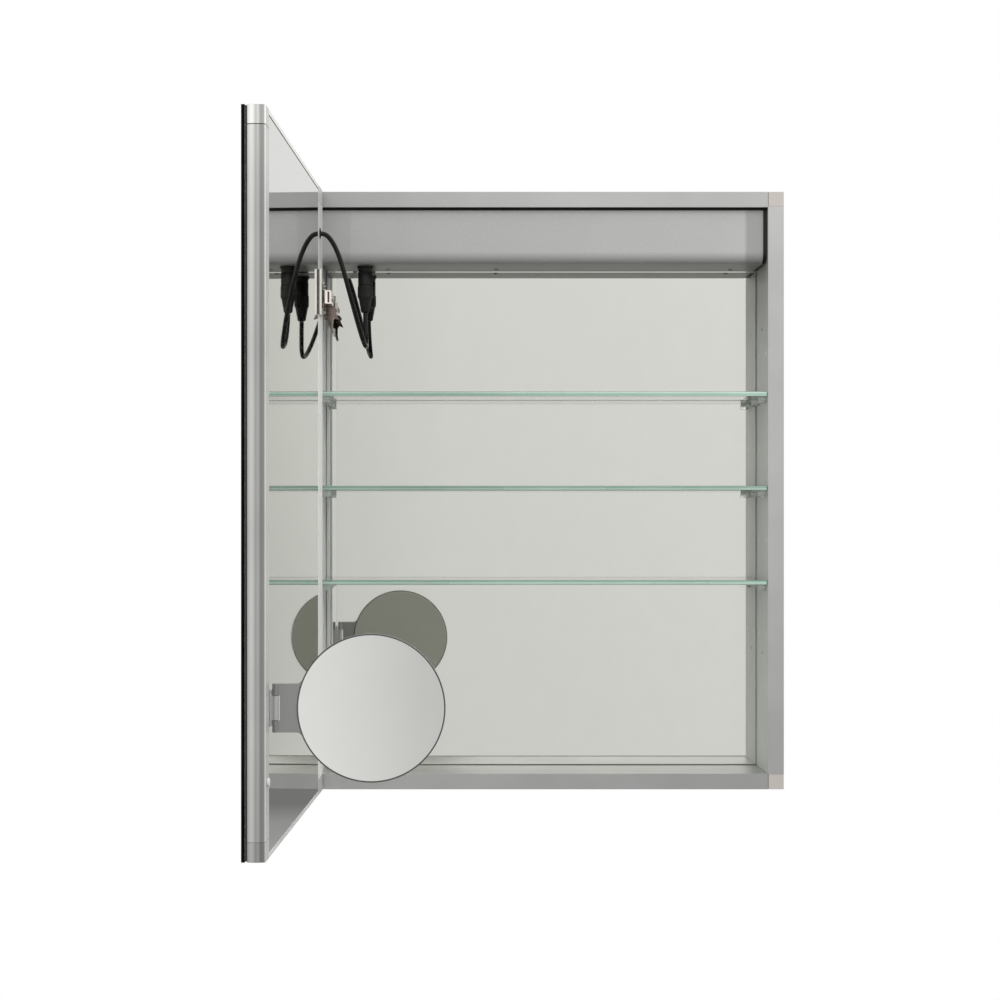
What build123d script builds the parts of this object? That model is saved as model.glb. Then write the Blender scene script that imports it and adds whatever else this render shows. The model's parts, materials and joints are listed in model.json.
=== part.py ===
from build123d import *
import os
from math import tan, radians

# Medicine cabinet with one mirrored door, in millimetres.
# X to the right, Y towards the wall, Z up. The origin is the centre of the back face.
# The door and the magnifying mirror are built closed and folded, then turned open.

os.makedirs("parts", exist_ok=True)

# ---------------------------------------------------------------- driving sizes

WIDTH, HEIGHT, DEPTH = 610.0, 762.0, 114.0
HALF_W, HALF_H = WIDTH / 2, HEIGHT / 2
STILE, RAIL = 20.0, 19.0            # front faces of the side and top profiles
SKIN = 1.6                          # wall of every extrusion
SHEET = 1.0                         # back panel
BACK_GLASS = 3.0
FRONT_Y = -DEPTH
INNER_X, INNER_Z = HALF_W - STILE, HALF_H - RAIL
GLASS_FACE_Y = -SHEET - BACK_GLASS  # face of the back mirror

SHELF_THICK, SHELF_DEPTH = 6.0, 101.0
SHELF_UNDERSIDES = {"upper": 120.5, "middle": 0.0, "lower": -120.5}
PIN_PITCH, PIN_ROWS, PIN_DROP = 60.25, 3, 4.0
PIN_HOLE_R = 2.6
PIN_COLUMNS = (FRONT_Y + 21.0, FRONT_Y + 86.0)

COVER_FACE_Y = FRONT_Y + 10.0
COVER_TOP, COVER_UNDER = 358.5, 291.0
COVER_RADIUS, COVER_SKIN = 15.0, 1.5
COVER_LEFT, COVER_RIGHT = -284.7, 280.0

DOOR_W, DOOR_H = 610.0, 762.0
DOOR_GAP = 3.0
DOOR_GLASS, DOOR_BACKING, DOOR_FRAME = 4.0, 1.6, 19.0
DOOR_INNER_Y = FRONT_Y - DOOR_GAP
FRAME_FRONT_Y = DOOR_INNER_Y - DOOR_FRAME
BACKING_FRONT_Y = FRAME_FRONT_Y - DOOR_BACKING
DOOR_FRONT_Y = BACKING_FRONT_Y - DOOR_GLASS
HINGE_STILE_W, FREE_STILE_W, DOOR_RAIL_H = 58.0, 32.0, 20.0
DOOR_BLOCK_H = 20.0
DOOR_MIRROR_THICK, DOOR_MIRROR_LAP = 3.0, 14.5
SIDE_CROWN, EDGE_BEVEL = 1.8, 1.5    # bulge of the door's long edges, bevel of their inner corner

PIVOT_X, PIVOT_Y = -295.5, FRONT_Y - 15.5
HINGE_HEIGHTS = {"upper": 247.0, "lower": -247.0}
DOOR_OPEN = 92.2
PIN_R, PIN_CLEAR = 2.5, 0.05

FOLD_X, FOLD_Y, MAGNIFIER_Z = 262.0, DOOR_INNER_Y + 5.2, -229.0
FOLD_OPEN = 180.0 - DOOR_OPEN       # leaves the disc parallel to the cabinet's front
DISC_R, DISC_REACH = 76.0, 22.0

LEAD_D = 6.0
LEAD_ROUTE = [
    (-285.6, -159.4, 322.0),
    (-279.6, -159.6, 322.0),
    (-273.4, -159.3, 318.4),
    (-266.3, -158.0, 308.5),
    (-259.2, -157.0, 292.0),
    (-253.3, -156.0, 271.9),
    (-247.6, -152.0, 250.5),
    (-241.8, -144.0, 228.4),
    (-236.3, -132.0, 207.7),
    (-231.6, -117.0, 191.5),
    (-228.1, -98.0, 183.0),
    (-228.6, -79.0, 190.0),
    (-230.0, -68.0, 210.0),
    (-230.5, -66.0, 230.6),
]
PLUG_X, PLUG_Y = -230.5, -66.0
GROMMET_X, GROMMET_Z, GROMMET_PROUD = -266.0, 322.0, 1.4


# ---------------------------------------------------------------- helpers

def block(x0, x1, y0, y1, z0, z1):
    """A box given by its limits."""
    return Pos((x0 + x1) / 2, (y0 + y1) / 2, (z0 + z1) / 2) * Box(x1 - x0, y1 - y0, z1 - z0)


def rod(radius, x, y, z0, z1):
    """A cylinder along Z."""
    return Pos(x, y, (z0 + z1) / 2) * Cylinder(radius, z1 - z0)


def rod_x(radius, x0, x1, y, z):
    """A cylinder along X."""
    return Pos((x0 + x1) / 2, y, z) * Rot(0, 90, 0) * Cylinder(radius, x1 - x0)


def rod_y(radius, x, y0, y1, z):
    """A cylinder along Y."""
    return Pos(x, (y0 + y1) / 2, z) * Rot(90, 0, 0) * Cylinder(radius, y1 - y0)


def prism_z(points, z0, z1):
    """A polygon in XY carried from z0 to z1."""
    face = make_face(Polyline(*points, close=True))
    return Pos(0, 0, z0) * extrude(face, z1 - z0, dir=(0, 0, 1))


def turn(shape, x, y, degrees):
    """Turn a shape about a vertical line."""
    return Pos(x, y, 0) * Rot(0, 0, degrees) * Pos(-x, -y, 0) * shape


def on_door(shape):
    """A piece built on the closed door, moved to the open door."""
    return turn(shape, PIVOT_X, PIVOT_Y, -DOOR_OPEN)


def on_magnifier(shape):
    """A piece built on the folded magnifier, moved to the open one."""
    return on_door(turn(shape, FOLD_X, FOLD_Y, -FOLD_OPEN))


def save(name, shape):
    """Write one node; a list is a group of separate solids."""
    solids = [s for item in (shape if isinstance(shape, list) else [shape]) for s in item.solids()]
    whole = solids[0] if len(solids) == 1 else Compound(children=solids)
    export_step(whole, f"parts/{name}.step")


# ---------------------------------------------------------------- carcass

def chambers(low, high):
    """Y limits of the hollows of a deep profile, two ribs between them."""
    ribs = (FRONT_Y + 30.0, FRONT_Y + 70.0)
    edges = [low + SKIN, ribs[0], ribs[0] + SKIN, ribs[1], ribs[1] + SKIN, high - SKIN]
    return list(zip(edges[::2], edges[1::2]))


SIDE_FIXING_HEIGHTS, SIDE_FIXING_Y, SIDE_FIXING_R = (-210.0, 210.0), -DEPTH / 2, 2.5


def side_profile(side):
    """Hollow upright with shelf pin holes in its inner wall; side is -1 or 1."""
    outer, inner = side * HALF_W, side * INNER_X
    x0, x1 = sorted((outer, inner))
    body = block(x0, x1, FRONT_Y, -SHEET, -INNER_Z, INNER_Z)
    for y0, y1 in chambers(FRONT_Y, -SHEET):
        body -= block(x0 + SKIN, x1 - SKIN, y0, y1, -INNER_Z - 1, INNER_Z + 1)
    wall = sorted((inner - side, inner + side * 2 * SKIN))
    for y in PIN_COLUMNS:
        for step in range(-PIN_ROWS, PIN_ROWS + 1):
            body -= rod_x(PIN_HOLE_R, wall[0], wall[1], y, step * PIN_PITCH - PIN_DROP)
    for z in SIDE_FIXING_HEIGHTS:
        body -= rod_x(SIDE_FIXING_R, x0 - 1, x1 + 1, SIDE_FIXING_Y, z)
    return body


def rail_profile(side):
    """Hollow top (1) or bottom (-1) profile with a small lip along its inner front edge."""
    z0, z1 = sorted((side * HALF_H, side * INNER_Z))
    body = block(-INNER_X, INNER_X, FRONT_Y, -SHEET, z0, z1)
    for y0, y1 in chambers(FRONT_Y, -SHEET):
        body -= block(-INNER_X - 1, INNER_X + 1, y0, y1, z0 + SKIN, z1 - SKIN)
    lip = sorted((side * INNER_Z, side * (INNER_Z - 1.0)))
    return body + block(-INNER_X, INNER_X, FRONT_Y, FRONT_Y + 1.5, lip[0], lip[1])


def corner_block(side_x, side_z):
    """Corner piece with a tongue into the upright and one into the rail."""
    slack, tongue = 0.3, 16.0
    x0, x1 = sorted((side_x * INNER_X, side_x * HALF_W))
    z0, z1 = sorted((side_z * INNER_Z, side_z * HALF_H))
    piece = block(x0, x1, FRONT_Y, -SHEET, z0, z1)
    y0, y1 = chambers(FRONT_Y, -SHEET)[0]
    down = sorted((side_z * INNER_Z, side_z * (INNER_Z - tongue)))
    across = sorted((side_x * INNER_X, side_x * (INNER_X - tongue)))
    piece += block(x0 + SKIN + slack, x1 - SKIN - slack, y0 + slack, y1 - slack, down[0], down[1])
    piece += block(across[0], across[1], y0 + slack, y1 - slack,
                   z0 + SKIN + slack, z1 - SKIN - slack)
    return piece


WALL_HOLE_SPACING, WALL_HOLE_Z, WALL_HOLE_R = 406.4, 338.0, 3.5
ENTRY_X, ENTRY_R = 250.0, 11.0


def back_panel():
    """Sheet over the whole back, with two wall-screw holes and the supply's entry."""
    inset = 2.0
    sheet = block(-HALF_W + inset, HALF_W - inset, -SHEET, 0, -HALF_H + inset, HALF_H - inset)
    for x in (-WALL_HOLE_SPACING / 2, WALL_HOLE_SPACING / 2):
        sheet -= rod_y(WALL_HOLE_R, x, -SHEET - 1, 1, WALL_HOLE_Z)
    return sheet - rod_y(ENTRY_R, ENTRY_X, -SHEET - 1, 1, WALL_HOLE_Z)


def back_mirror():
    """Glass between the profiles, up to the driver cover."""
    gap = 1.0
    return block(-INNER_X + gap, INNER_X - gap, GLASS_FACE_Y, -SHEET,
                 -INNER_Z + gap, COVER_UNDER - 0.2)


def shelf(underside):
    """Glass shelf with ground edges."""
    end_gap, front_gap = 1.0, 3.0
    y0 = FRONT_Y + front_gap
    glass = block(-INNER_X + end_gap, INNER_X - end_gap, y0, y0 + SHELF_DEPTH,
                  underside, underside + SHELF_THICK)
    return chamfer(glass.edges().filter_by(Axis.X), 0.4)


def shelf_supports(underside):
    """Four clear studs, each with a collar against the upright and a round peg under the glass."""
    pieces = []
    peg = PIN_DROP - 0.4
    for side in (-1, 1):
        for y in PIN_COLUMNS:
            z, inner = underside - PIN_DROP, side * INNER_X
            stud = sorted((inner + side * 6.0, inner - side * 2.0))
            collar = sorted((inner, inner - side * 0.8))
            peg_ends = sorted((inner - side * 0.5, inner - side * 9.5))
            piece = rod_x(PIN_HOLE_R - 0.1, stud[0], stud[1], y, z)
            piece += rod_x(peg + 0.4, collar[0], collar[1], y, z)
            piece += rod_x(peg, peg_ends[0], peg_ends[1], y, z)
            piece += block(peg_ends[0], peg_ends[1], y - 1.5, y + 1.5, z, underside)
            pieces.append(piece)
    return pieces


# ---------------------------------------------------------------- driver compartment

def cover_section(skin_out, skin_in, x0, x1):
    """The cover's bent section between two offsets of its outer line, as one solid."""
    def outline(off):
        face_y, under_z, r = COVER_FACE_Y + off, COVER_UNDER + off, COVER_RADIUS - off
        return face_y, under_z, r
    fy, uz, r = outline(skin_out)
    gy, vz, s = outline(skin_in)
    back = -SHEET - 0.5
    centre_y, centre_z = fy + r, uz + r
    lines = [
        Line((0, fy, COVER_TOP), (0, fy, centre_z)),
        ThreePointArc((0, fy, centre_z),
                      (0, centre_y - r * 2 ** -0.5, centre_z - r * 2 ** -0.5),
                      (0, centre_y, uz)),
        Line((0, centre_y, uz), (0, back, uz)),
        Line((0, back, uz), (0, back, vz)),
        Line((0, back, vz), (0, centre_y, vz)),
        ThreePointArc((0, centre_y, vz),
                      (0, centre_y - s * 2 ** -0.5, centre_z - s * 2 ** -0.5),
                      (0, gy, centre_z)),
        Line((0, gy, centre_z), (0, gy, COVER_TOP)),
        Line((0, gy, COVER_TOP), (0, fy, COVER_TOP)),
    ]
    face = make_face(Wire(lines))
    return Pos(x0, 0, 0) * extrude(face, x1 - x0, dir=(1, 0, 0))


SOCKET_HOLE_R = 7.2
SCREW_SPOTS = ((-202.0, -27.0), (-60.0, -27.0), (247.0, -27.0))
TRAY_Z = COVER_UNDER + COVER_SKIN + 0.2
TRAY_THICK = 1.2


def driver_cover():
    """Bent cover with the socket's hole and the screw holes."""
    cover = cover_section(0.0, COVER_SKIN, COVER_LEFT, COVER_RIGHT)
    cover -= rod(SOCKET_HOLE_R, PLUG_X, PLUG_Y, COVER_UNDER - 1, COVER_UNDER + 3)
    for x, y in SCREW_SPOTS:
        cover -= rod(1.7, x, y, COVER_UNDER - 1, COVER_UNDER + 3)
    return cover


def cover_end_cap(side):
    """Black plate that closes one end: beside the cover on the right, inside it on the left."""
    inset = 0.5 if side > 0 else COVER_SKIN + 0.1
    x0, x1 = (COVER_RIGHT, INNER_X - 0.2) if side > 0 else (COVER_LEFT + 1.0, COVER_LEFT + 3.5)
    back = -SHEET - 0.5
    fy, r = COVER_FACE_Y + inset, COVER_RADIUS - inset
    uz = COVER_UNDER + inset
    lines = [
        Line((0, fy, COVER_TOP), (0, fy, uz + r)),
        ThreePointArc((0, fy, uz + r),
                      (0, fy + r - r * 2 ** -0.5, uz + r - r * 2 ** -0.5),
                      (0, fy + r, uz)),
        Line((0, fy + r, uz), (0, back, uz)),
        Line((0, back, uz), (0, back, COVER_TOP)),
        Line((0, back, COVER_TOP), (0, fy, COVER_TOP)),
    ]
    return Pos(x0, 0, 0) * extrude(make_face(Wire(lines)), x1 - x0, dir=(1, 0, 0))


def cover_seal():
    """Black strip between the cover's top edge and the top profile."""
    z0, z1 = COVER_TOP, INNER_Z - 0.1
    y0 = COVER_FACE_Y + 1.0
    return block(-INNER_X + 0.2, INNER_X - 0.2, y0, y0 + 7.0, z0 + 0.05, z1)


def driver_tray():
    """Angle on the back panel that carries the driver and takes the cover's screws."""
    x0, x1 = -215.0, 275.0
    tray = block(x0, x1, -45.0, -SHEET - 0.1, TRAY_Z, TRAY_Z + TRAY_THICK)
    tray += block(x0, x1, -SHEET - 0.1 - TRAY_THICK, -SHEET - 0.1, TRAY_Z, TRAY_Z + 24.0)
    for x, y in SCREW_SPOTS:
        tray -= rod(1.25, x, y, TRAY_Z - 1, TRAY_Z + 3)
    return tray


def cover_screws():
    """Small pan-head screws up through the cover into the tray."""
    return [rod(3.0, x, y, COVER_UNDER - 1.6, COVER_UNDER)
            + rod(1.25, x, y, COVER_UNDER - 0.1, TRAY_Z + TRAY_THICK + 2.0)
            for x, y in SCREW_SPOTS]


def led_driver():
    """Sealed power supply with mounting ears, on the tray."""
    z = TRAY_Z + TRAY_THICK
    case = block(-30.0, 150.0, -44.0, -6.0, z, z + 28.0)
    case = fillet(case.edges().filter_by(Axis.Z), 3.0)
    return case + block(-38.0, 158.0, -36.0, -14.0, z, z + 3.0)


def terminal_block():
    """Three-way screw terminal, beside the driver."""
    z = TRAY_Z + TRAY_THICK
    base = block(176.0, 212.0, -36.0, -14.0, z, z + 16.0)
    for n in range(3):
        x = 182.0 + 12.0 * n
        base -= rod(2.6, x, -25.0, z + 6.0, z + 17.0)
        base -= rod_y(2.2, x, -37.0, -33.0, z + 4.5)
    return base


SOCKET_TOP, SOCKET_FOOT, PLUG_FOOT = COVER_UNDER, 266.0, 231.0


def panel_socket():
    """Round panel connector with its flange under the cover and its neck through it."""
    body = rod(10.5, PLUG_X, PLUG_Y, SOCKET_TOP - 3.0, SOCKET_TOP)
    body += rod(9.3, PLUG_X, PLUG_Y, SOCKET_FOOT, SOCKET_TOP - 3.0)
    return body + rod(SOCKET_HOLE_R - 0.2, PLUG_X, PLUG_Y, SOCKET_TOP, SOCKET_TOP + 12.0)


def socket_nut():
    """Hexagon nut on the socket's neck, inside the cover."""
    z = COVER_UNDER + COVER_SKIN
    nut = extrude(Plane.XY * RegularPolygon(11.5, 6), 5.0, dir=(0, 0, 1))
    return Pos(PLUG_X, PLUG_Y, z) * nut - rod(SOCKET_HOLE_R - 0.1, PLUG_X, PLUG_Y, z - 1, z + 6)


def cable_plug():
    """Cable connector: grip sleeve and a tapered strain relief."""
    sleeve = rod(10.0, PLUG_X, PLUG_Y, 250.0, SOCKET_FOOT)
    for n in range(12):
        sleeve -= turn(rod(0.8, PLUG_X + 10.2, PLUG_Y, 252.0, 264.0), PLUG_X, PLUG_Y, n * 30.0)
    taper = 250.0 - PLUG_FOOT
    return sleeve + Pos(PLUG_X, PLUG_Y, PLUG_FOOT + taper / 2) * Cone(5.2, 8.6, taper)


def door_lead():
    """Lead from the plug to the door, a tube of runs joined by tangent arcs."""
    points = [Vector(*p) for p in LEAD_ROUTE]
    radii = []
    for a, b, c in zip(points, points[1:], points[2:]):
        half_turn = radians((b - a).get_angle(c - b)) / 2
        shorter = min((b - a).length, (c - b).length)
        radii.append(0.45 * shorter / tan(half_turn))
    path = FilletPolyline(*points, radius=radii)
    start = Plane(origin=points[0], z_dir=points[1] - points[0])
    print("lead: length", round(path.length, 1), "radii", [round(r) for r in radii])
    return sweep(start * Circle(LEAD_D / 2), path=path)


# ---------------------------------------------------------------- hinges, cabinet side

ARM_HALF, BARREL_HALF = 8.5, 12.5
PLATE_SCREW_Y, ADJUSTERS_Y = FRONT_Y + 37.0, (FRONT_Y + 20.0, FRONT_Y + 42.0)


def hinge_plate(z):
    """Plate on the left upright, under the arm."""
    x0 = -INNER_X
    plate = block(x0, x0 + 2.0, FRONT_Y + 16.0, FRONT_Y + 58.0, z - 22.0, z + 22.0)
    plate = fillet(plate.edges().filter_by(Axis.X), 5.0)
    for dz in (-17.0, 17.0):
        plate -= rod_x(2.1, x0 - 1, x0 + 3, PLATE_SCREW_Y, z + dz)
    return plate


def hinge_arm(z):
    """Cranked arm from the plate to the pin, with its barrel."""
    outline = [(-1.5, 3.0), (12.5, 15.0), (12.5, 70.5), (20.0, 70.5), (23.5, 64.0),
               (23.5, 20.0), (17.0, 15.5), (3.0, -2.0)]
    points = [(PIVOT_X + dx, PIVOT_Y + dy) for dx, dy in outline]
    arm = prism_z(points, z - ARM_HALF, z + ARM_HALF)
    arm += rod(PIN_R + 1.7, PIVOT_X, PIVOT_Y, z - BARREL_HALF, z + BARREL_HALF)
    # hollow underside of the pressing, and slots over the two adjusting screws
    arm -= block(-INNER_X + 2.0 - 0.5, -INNER_X + 10.5, FRONT_Y + 10.0, FRONT_Y + 50.0,
                 z - ARM_HALF + 1.5, z + ARM_HALF - 1.5)
    arm -= rod(PIN_R + PIN_CLEAR, PIVOT_X, PIVOT_Y, z - BARREL_HALF - 1, z + BARREL_HALF + 1)
    for y in ADJUSTERS_Y:
        arm -= rod_x(3.2, -276.0, -270.0, y, z)
    return arm


def hinge_adjusters(z):
    """The two adjusting screws in the arm."""
    pieces = []
    for y in ADJUSTERS_Y:
        screw = rod_x(3.0, -275.0, -271.0, y, z) + rod_x(1.9, -283.0, -275.0, y, z)
        screw -= block(-272.0, -270.5, y - 2.4, y + 2.4, z - 0.4, z + 0.4)
        pieces.append(screw)
    return pieces


def hinge_lever(z):
    """Clip body under the arm, with the release lever that hangs from it."""
    x, y, top = -INNER_X + 2.0, PLATE_SCREW_Y + 5.0, z - ARM_HALF - 0.1
    outline = [(0.0, 0.0), (13.0, 0.0), (16.5, -4.5), (14.5, -8.0), (18.5, -16.5), (12.5, -14.5),
               (10.8, -18.0), (10.8, -27.5), (12.0, -33.5), (9.6, -35.2), (7.8, -30.5),
               (7.4, -18.0), (0.0, -16.5)]
    face = make_face(Polyline(*[(x + dx, y, top + dz) for dx, dz in outline], close=True))
    return extrude(face, 9.0, dir=(0, 1, 0))


def hinge_plate_screws():
    """Screws of both hinge plates, into the upright's inner wall."""
    pieces = []
    for z in HINGE_HEIGHTS.values():
        for dz in (-17.0, 17.0):
            x0 = -INNER_X + 2.0
            pieces.append(rod_x(3.6, x0, x0 + 1.8, PLATE_SCREW_Y, z + dz)
                          + rod_x(2.0, x0 - 2.0, x0, PLATE_SCREW_Y, z + dz))
    return pieces


# ---------------------------------------------------------------- door

def door_plate(inset, y0, y1):
    """Full-size plate of the door."""
    return block(-DOOR_W / 2 + inset, DOOR_W / 2 - inset, y0, y1,
                 -DOOR_H / 2 + inset, DOOR_H / 2 - inset)


BAND_X, BAND_W, BAND_HALF = 262.0, 20.0, 320.0
CHANNEL_DEPTH, CHANNEL_SKIN = 9.2, 1.2


def door_backing():
    """Dark board behind the glass, open behind the two light bands."""
    board = door_plate(1.0, BACKING_FRONT_Y, FRAME_FRONT_Y)
    for side in (-1, 1):
        x = side * BAND_X
        board -= block(x - BAND_W / 2, x + BAND_W / 2, BACKING_FRONT_Y - 1, FRAME_FRONT_Y + 1,
                       -BAND_HALF, BAND_HALF)
    return board


def crowned_side(side, width, z0, z1):
    """Door upright of the given width, its long outer face slightly rounded and bevelled inside."""
    edge, flat = side * DOOR_W / 2, side * (DOOR_W / 2 - SIDE_CROWN)
    inner = side * (DOOR_W / 2 - width)
    y0, y1 = FRAME_FRONT_Y, DOOR_INNER_Y
    bevel_y = y1 - EDGE_BEVEL
    lines = [
        Line((inner, y0, z0), (flat, y0, z0)),
        ThreePointArc((flat, y0, z0), (edge, (y0 + bevel_y) / 2, z0), (flat, bevel_y, z0)),
        Line((flat, bevel_y, z0), (flat - side * EDGE_BEVEL, y1, z0)),
        Line((flat - side * EDGE_BEVEL, y1, z0), (inner, y1, z0)),
        Line((inner, y1, z0), (inner, y0, z0)),
    ]
    return extrude(make_face(Wire(lines)), z1 - z0, dir=(0, 0, 1))


def hinge_pocket(z):
    """Room for one hinge in the door's upright, open to the inner face and the edge."""
    return block(-DOOR_W / 2 - 1, PIVOT_X + 17.0, FRAME_FRONT_Y - 0.5, DOOR_INNER_Y + 1,
                 z - 15.8, z + 15.8)


def mirror_rebate():
    """Space of the inner mirror, with its small clearance."""
    gap = 0.2
    x0 = -DOOR_W / 2 + HINGE_STILE_W
    x1 = DOOR_W / 2 - FREE_STILE_W
    z1 = DOOR_H / 2 - DOOR_RAIL_H + DOOR_MIRROR_LAP
    return (x0 - gap, x1 + gap, DOOR_INNER_Y - DOOR_MIRROR_THICK - 0.2, DOOR_INNER_Y + 1,
            -z1 - gap, z1 + gap)


def door_stile(side):
    """Hollow upright of the door between its corner blocks."""
    width = HINGE_STILE_W if side < 0 else FREE_STILE_W
    z1 = DOOR_H / 2 - DOOR_BLOCK_H
    stile = crowned_side(side, width, -z1, z1)
    x0, x1 = sorted((side * (DOOR_W / 2 - SIDE_CROWN - SKIN), side * (DOOR_W / 2 - width + SKIN)))
    hollow = block(x0, x1, FRAME_FRONT_Y + SKIN, DOOR_INNER_Y - SKIN, -z1 - 1, z1 + 1)
    rib = side * (DOOR_W / 2 - 22.0)
    hollow -= block(rib - SKIN / 2, rib + SKIN / 2, FRAME_FRONT_Y, DOOR_INNER_Y, -z1 - 2, z1 + 2)
    stile -= hollow
    # the lamp channel, open to the front behind the light band
    lamp = side * BAND_X
    stile -= block(lamp - BAND_W / 2, lamp + BAND_W / 2, FRAME_FRONT_Y - 1, FRAME_FRONT_Y + SKIN + 1,
                   -BAND_HALF, BAND_HALF)
    if side < 0:
        for z in HINGE_HEIGHTS.values():
            stile -= hinge_pocket(z)
        stile -= rod_y(5.2, GROMMET_X, DOOR_INNER_Y - SKIN - 1, DOOR_INNER_Y + 1, GROMMET_Z)
    return stile


def door_rail(side):
    """Top (1) or bottom (-1) member of the door, with the inner mirror's rebate."""
    x0 = -DOOR_W / 2 + HINGE_STILE_W
    x1 = DOOR_W / 2 - FREE_STILE_W
    z0, z1 = sorted((side * (DOOR_H / 2 - DOOR_RAIL_H), side * DOOR_H / 2))
    rail = block(x0, x1, FRAME_FRONT_Y, DOOR_INNER_Y, z0, z1)
    rail -= block(*mirror_rebate())
    gap = DOOR_MIRROR_THICK + 0.2
    return rail - block(x0 - 1, x1 + 1, FRAME_FRONT_Y + SKIN, DOOR_INNER_Y - gap - SKIN,
                        z0 + SKIN, z1 - SKIN)


def door_corner_block(side_x, side_z):
    """Solid end of an upright, with a tongue into it."""
    width = HINGE_STILE_W if side_x < 0 else FREE_STILE_W
    z0, z1 = sorted((side_z * (DOOR_H / 2 - DOOR_BLOCK_H), side_z * DOOR_H / 2))
    piece = crowned_side(side_x, width, z0, z1)
    slack = 0.3
    x0, x1 = sorted((side_x * (DOOR_W / 2 - SIDE_CROWN - SKIN - slack),
                     side_x * (DOOR_W / 2 - 22.0 + SKIN)))
    down = sorted((side_z * (DOOR_H / 2 - DOOR_BLOCK_H), side_z * (DOOR_H / 2 - 36.0)))
    return piece + block(x0, x1, FRAME_FRONT_Y + SKIN + slack, DOOR_INNER_Y - SKIN - slack,
                         down[0], down[1])


def door_inner_mirror():
    """Glass in the door's rebate, seen when the door is open."""
    gap = 0.2
    x0, x1, _, _, z0, z1 = mirror_rebate()
    y1 = DOOR_INNER_Y - 0.2
    glass = block(x0 + 2 * gap, x1 - 2 * gap, y1 - DOOR_MIRROR_THICK + gap, y1, z0 + gap, z1 - gap)
    return glass


def lamp_pieces(depth0, depth1, width):
    """One bar per light band, between two depths behind the frame's front."""
    return [block(side * BAND_X - width / 2, side * BAND_X + width / 2,
                  FRAME_FRONT_Y + depth0, FRAME_FRONT_Y + depth1, -BAND_HALF + 1, BAND_HALF - 1)
            for side in (-1, 1)]


def lamp_channel(side):
    """U-shaped carrier behind one light band."""
    half, x = BAND_W / 2 - 0.2, side * BAND_X
    y0, y1 = FRAME_FRONT_Y + 2.1, FRAME_FRONT_Y + CHANNEL_DEPTH
    z1 = BAND_HALF - 1.0
    channel = block(x - half, x + half, y0, y1, -z1, z1)
    return channel - block(x - half + CHANNEL_SKIN, x + half - CHANNEL_SKIN,
                           y0 - 1, y1 - CHANNEL_SKIN, -z1 - 1, z1 + 1)


def lead_grommet():
    """Rubber bush round the lead where it enters the door."""
    bush = rod_y(7.0, GROMMET_X, DOOR_INNER_Y, DOOR_INNER_Y + GROMMET_PROUD, GROMMET_Z)
    bush = fillet(bush.edges().sort_by(Axis.Y)[-1], 0.6)
    bush += rod_y(5.0, GROMMET_X, DOOR_INNER_Y - SKIN - 0.5, DOOR_INNER_Y, GROMMET_Z)
    return bush - rod_y(LEAD_D / 2 + 0.05, GROMMET_X, DOOR_INNER_Y - 3, DOOR_INNER_Y + 3, GROMMET_Z)


def door_bumper():
    """Soft pad between the door's free lower corner and the right upright."""
    return rod_y(4.6, 290.0, DOOR_INNER_Y, DOOR_INNER_Y + DOOR_GAP - 0.2, -302.0)


FLANGE_THICK, FLANGE_LIP, FLANGE_HALF = 1.5, 4.2, 28.5
FLANGE_END = -247.0
CUP_SCREW_X, CUP_SCREWS = PIVOT_X + 26.5, (-22.0, 22.0)


def hinge_cup(z):
    """Pressed cup in the door's pocket: two ears, a base, and a face flange with a turned-up end."""
    x0, x1 = -DOOR_W / 2 + SIDE_CROWN + EDGE_BEVEL, PIVOT_X + 16.7
    y0, face = FRAME_FRONT_Y + 0.05, DOOR_INNER_Y
    cup = block(x0 + 1.0, x1, y0, y0 + 1.0, z - 15.5, z + 15.5)
    for dz in (-14.75, 14.75):
        cup += block(x0, x1, y0, face, z + dz - 0.75, z + dz + 0.75)
        cup += block(x1 - 3.5, x1, y0, face + FLANGE_THICK, z + dz - 0.75, z + dz + 0.75)
    for side in (-1, 1):
        a, b = sorted((z + side * 14.0, z + side * FLANGE_HALF))
        cup += block(x1 - 0.7, FLANGE_END, face, face + FLANGE_THICK, a, b)
    cup += block(PIVOT_X + 20.0, FLANGE_END, face, face + FLANGE_THICK, z - 15, z + 15)
    cup += block(FLANGE_END - 1.8, FLANGE_END, face, face + FLANGE_LIP, z - FLANGE_HALF,
                 z + FLANGE_HALF)
    cup -= rod(PIN_R, PIVOT_X, PIVOT_Y, z - 20, z + 20)
    for dz in CUP_SCREWS:
        cup -= rod_y(1.9, CUP_SCREW_X, face - 1, face + 3, z + dz)
    return cup


def hinge_pin(z):
    """Pin held in the cup's ears, turning in the arm's barrel."""
    return rod(PIN_R, PIVOT_X, PIVOT_Y, z - 15.4, z + 15.4)


def hinge_cup_screws():
    """Screws of both cups, into the door's inner wall."""
    face = DOOR_INNER_Y + FLANGE_THICK
    return [rod_y(3.4, CUP_SCREW_X, face, face + 1.2, z + dz)
            + rod_y(1.8, CUP_SCREW_X, face - 1.5, face, z + dz)
            for z in HINGE_HEIGHTS.values() for dz in CUP_SCREWS]


# ---------------------------------------------------------------- magnifying mirror

TAB_HALF, ARM_PLATE_HALF, KNUCKLE_R, FOLD_PIN_R = 12.5, 25.0, 3.2, 1.2


def magnifier_bracket():
    """Base and centre knuckle on the door's inner mirror."""
    face = DOOR_INNER_Y - 0.2
    z0, z1 = MAGNIFIER_Z - TAB_HALF, MAGNIFIER_Z + TAB_HALF
    tab = block(FOLD_X - 7.0, FOLD_X + 7.0, face, face + 1.6, z0 - 6.0, z1 + 6.0)
    tab += block(FOLD_X - 2.0, FOLD_X + 2.0, face, FOLD_Y, z0, z1)
    tab += rod(KNUCKLE_R, FOLD_X, FOLD_Y, z0, z1)
    return tab - rod(FOLD_PIN_R, FOLD_X, FOLD_Y, z0 - 1, z1 + 1)


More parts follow.
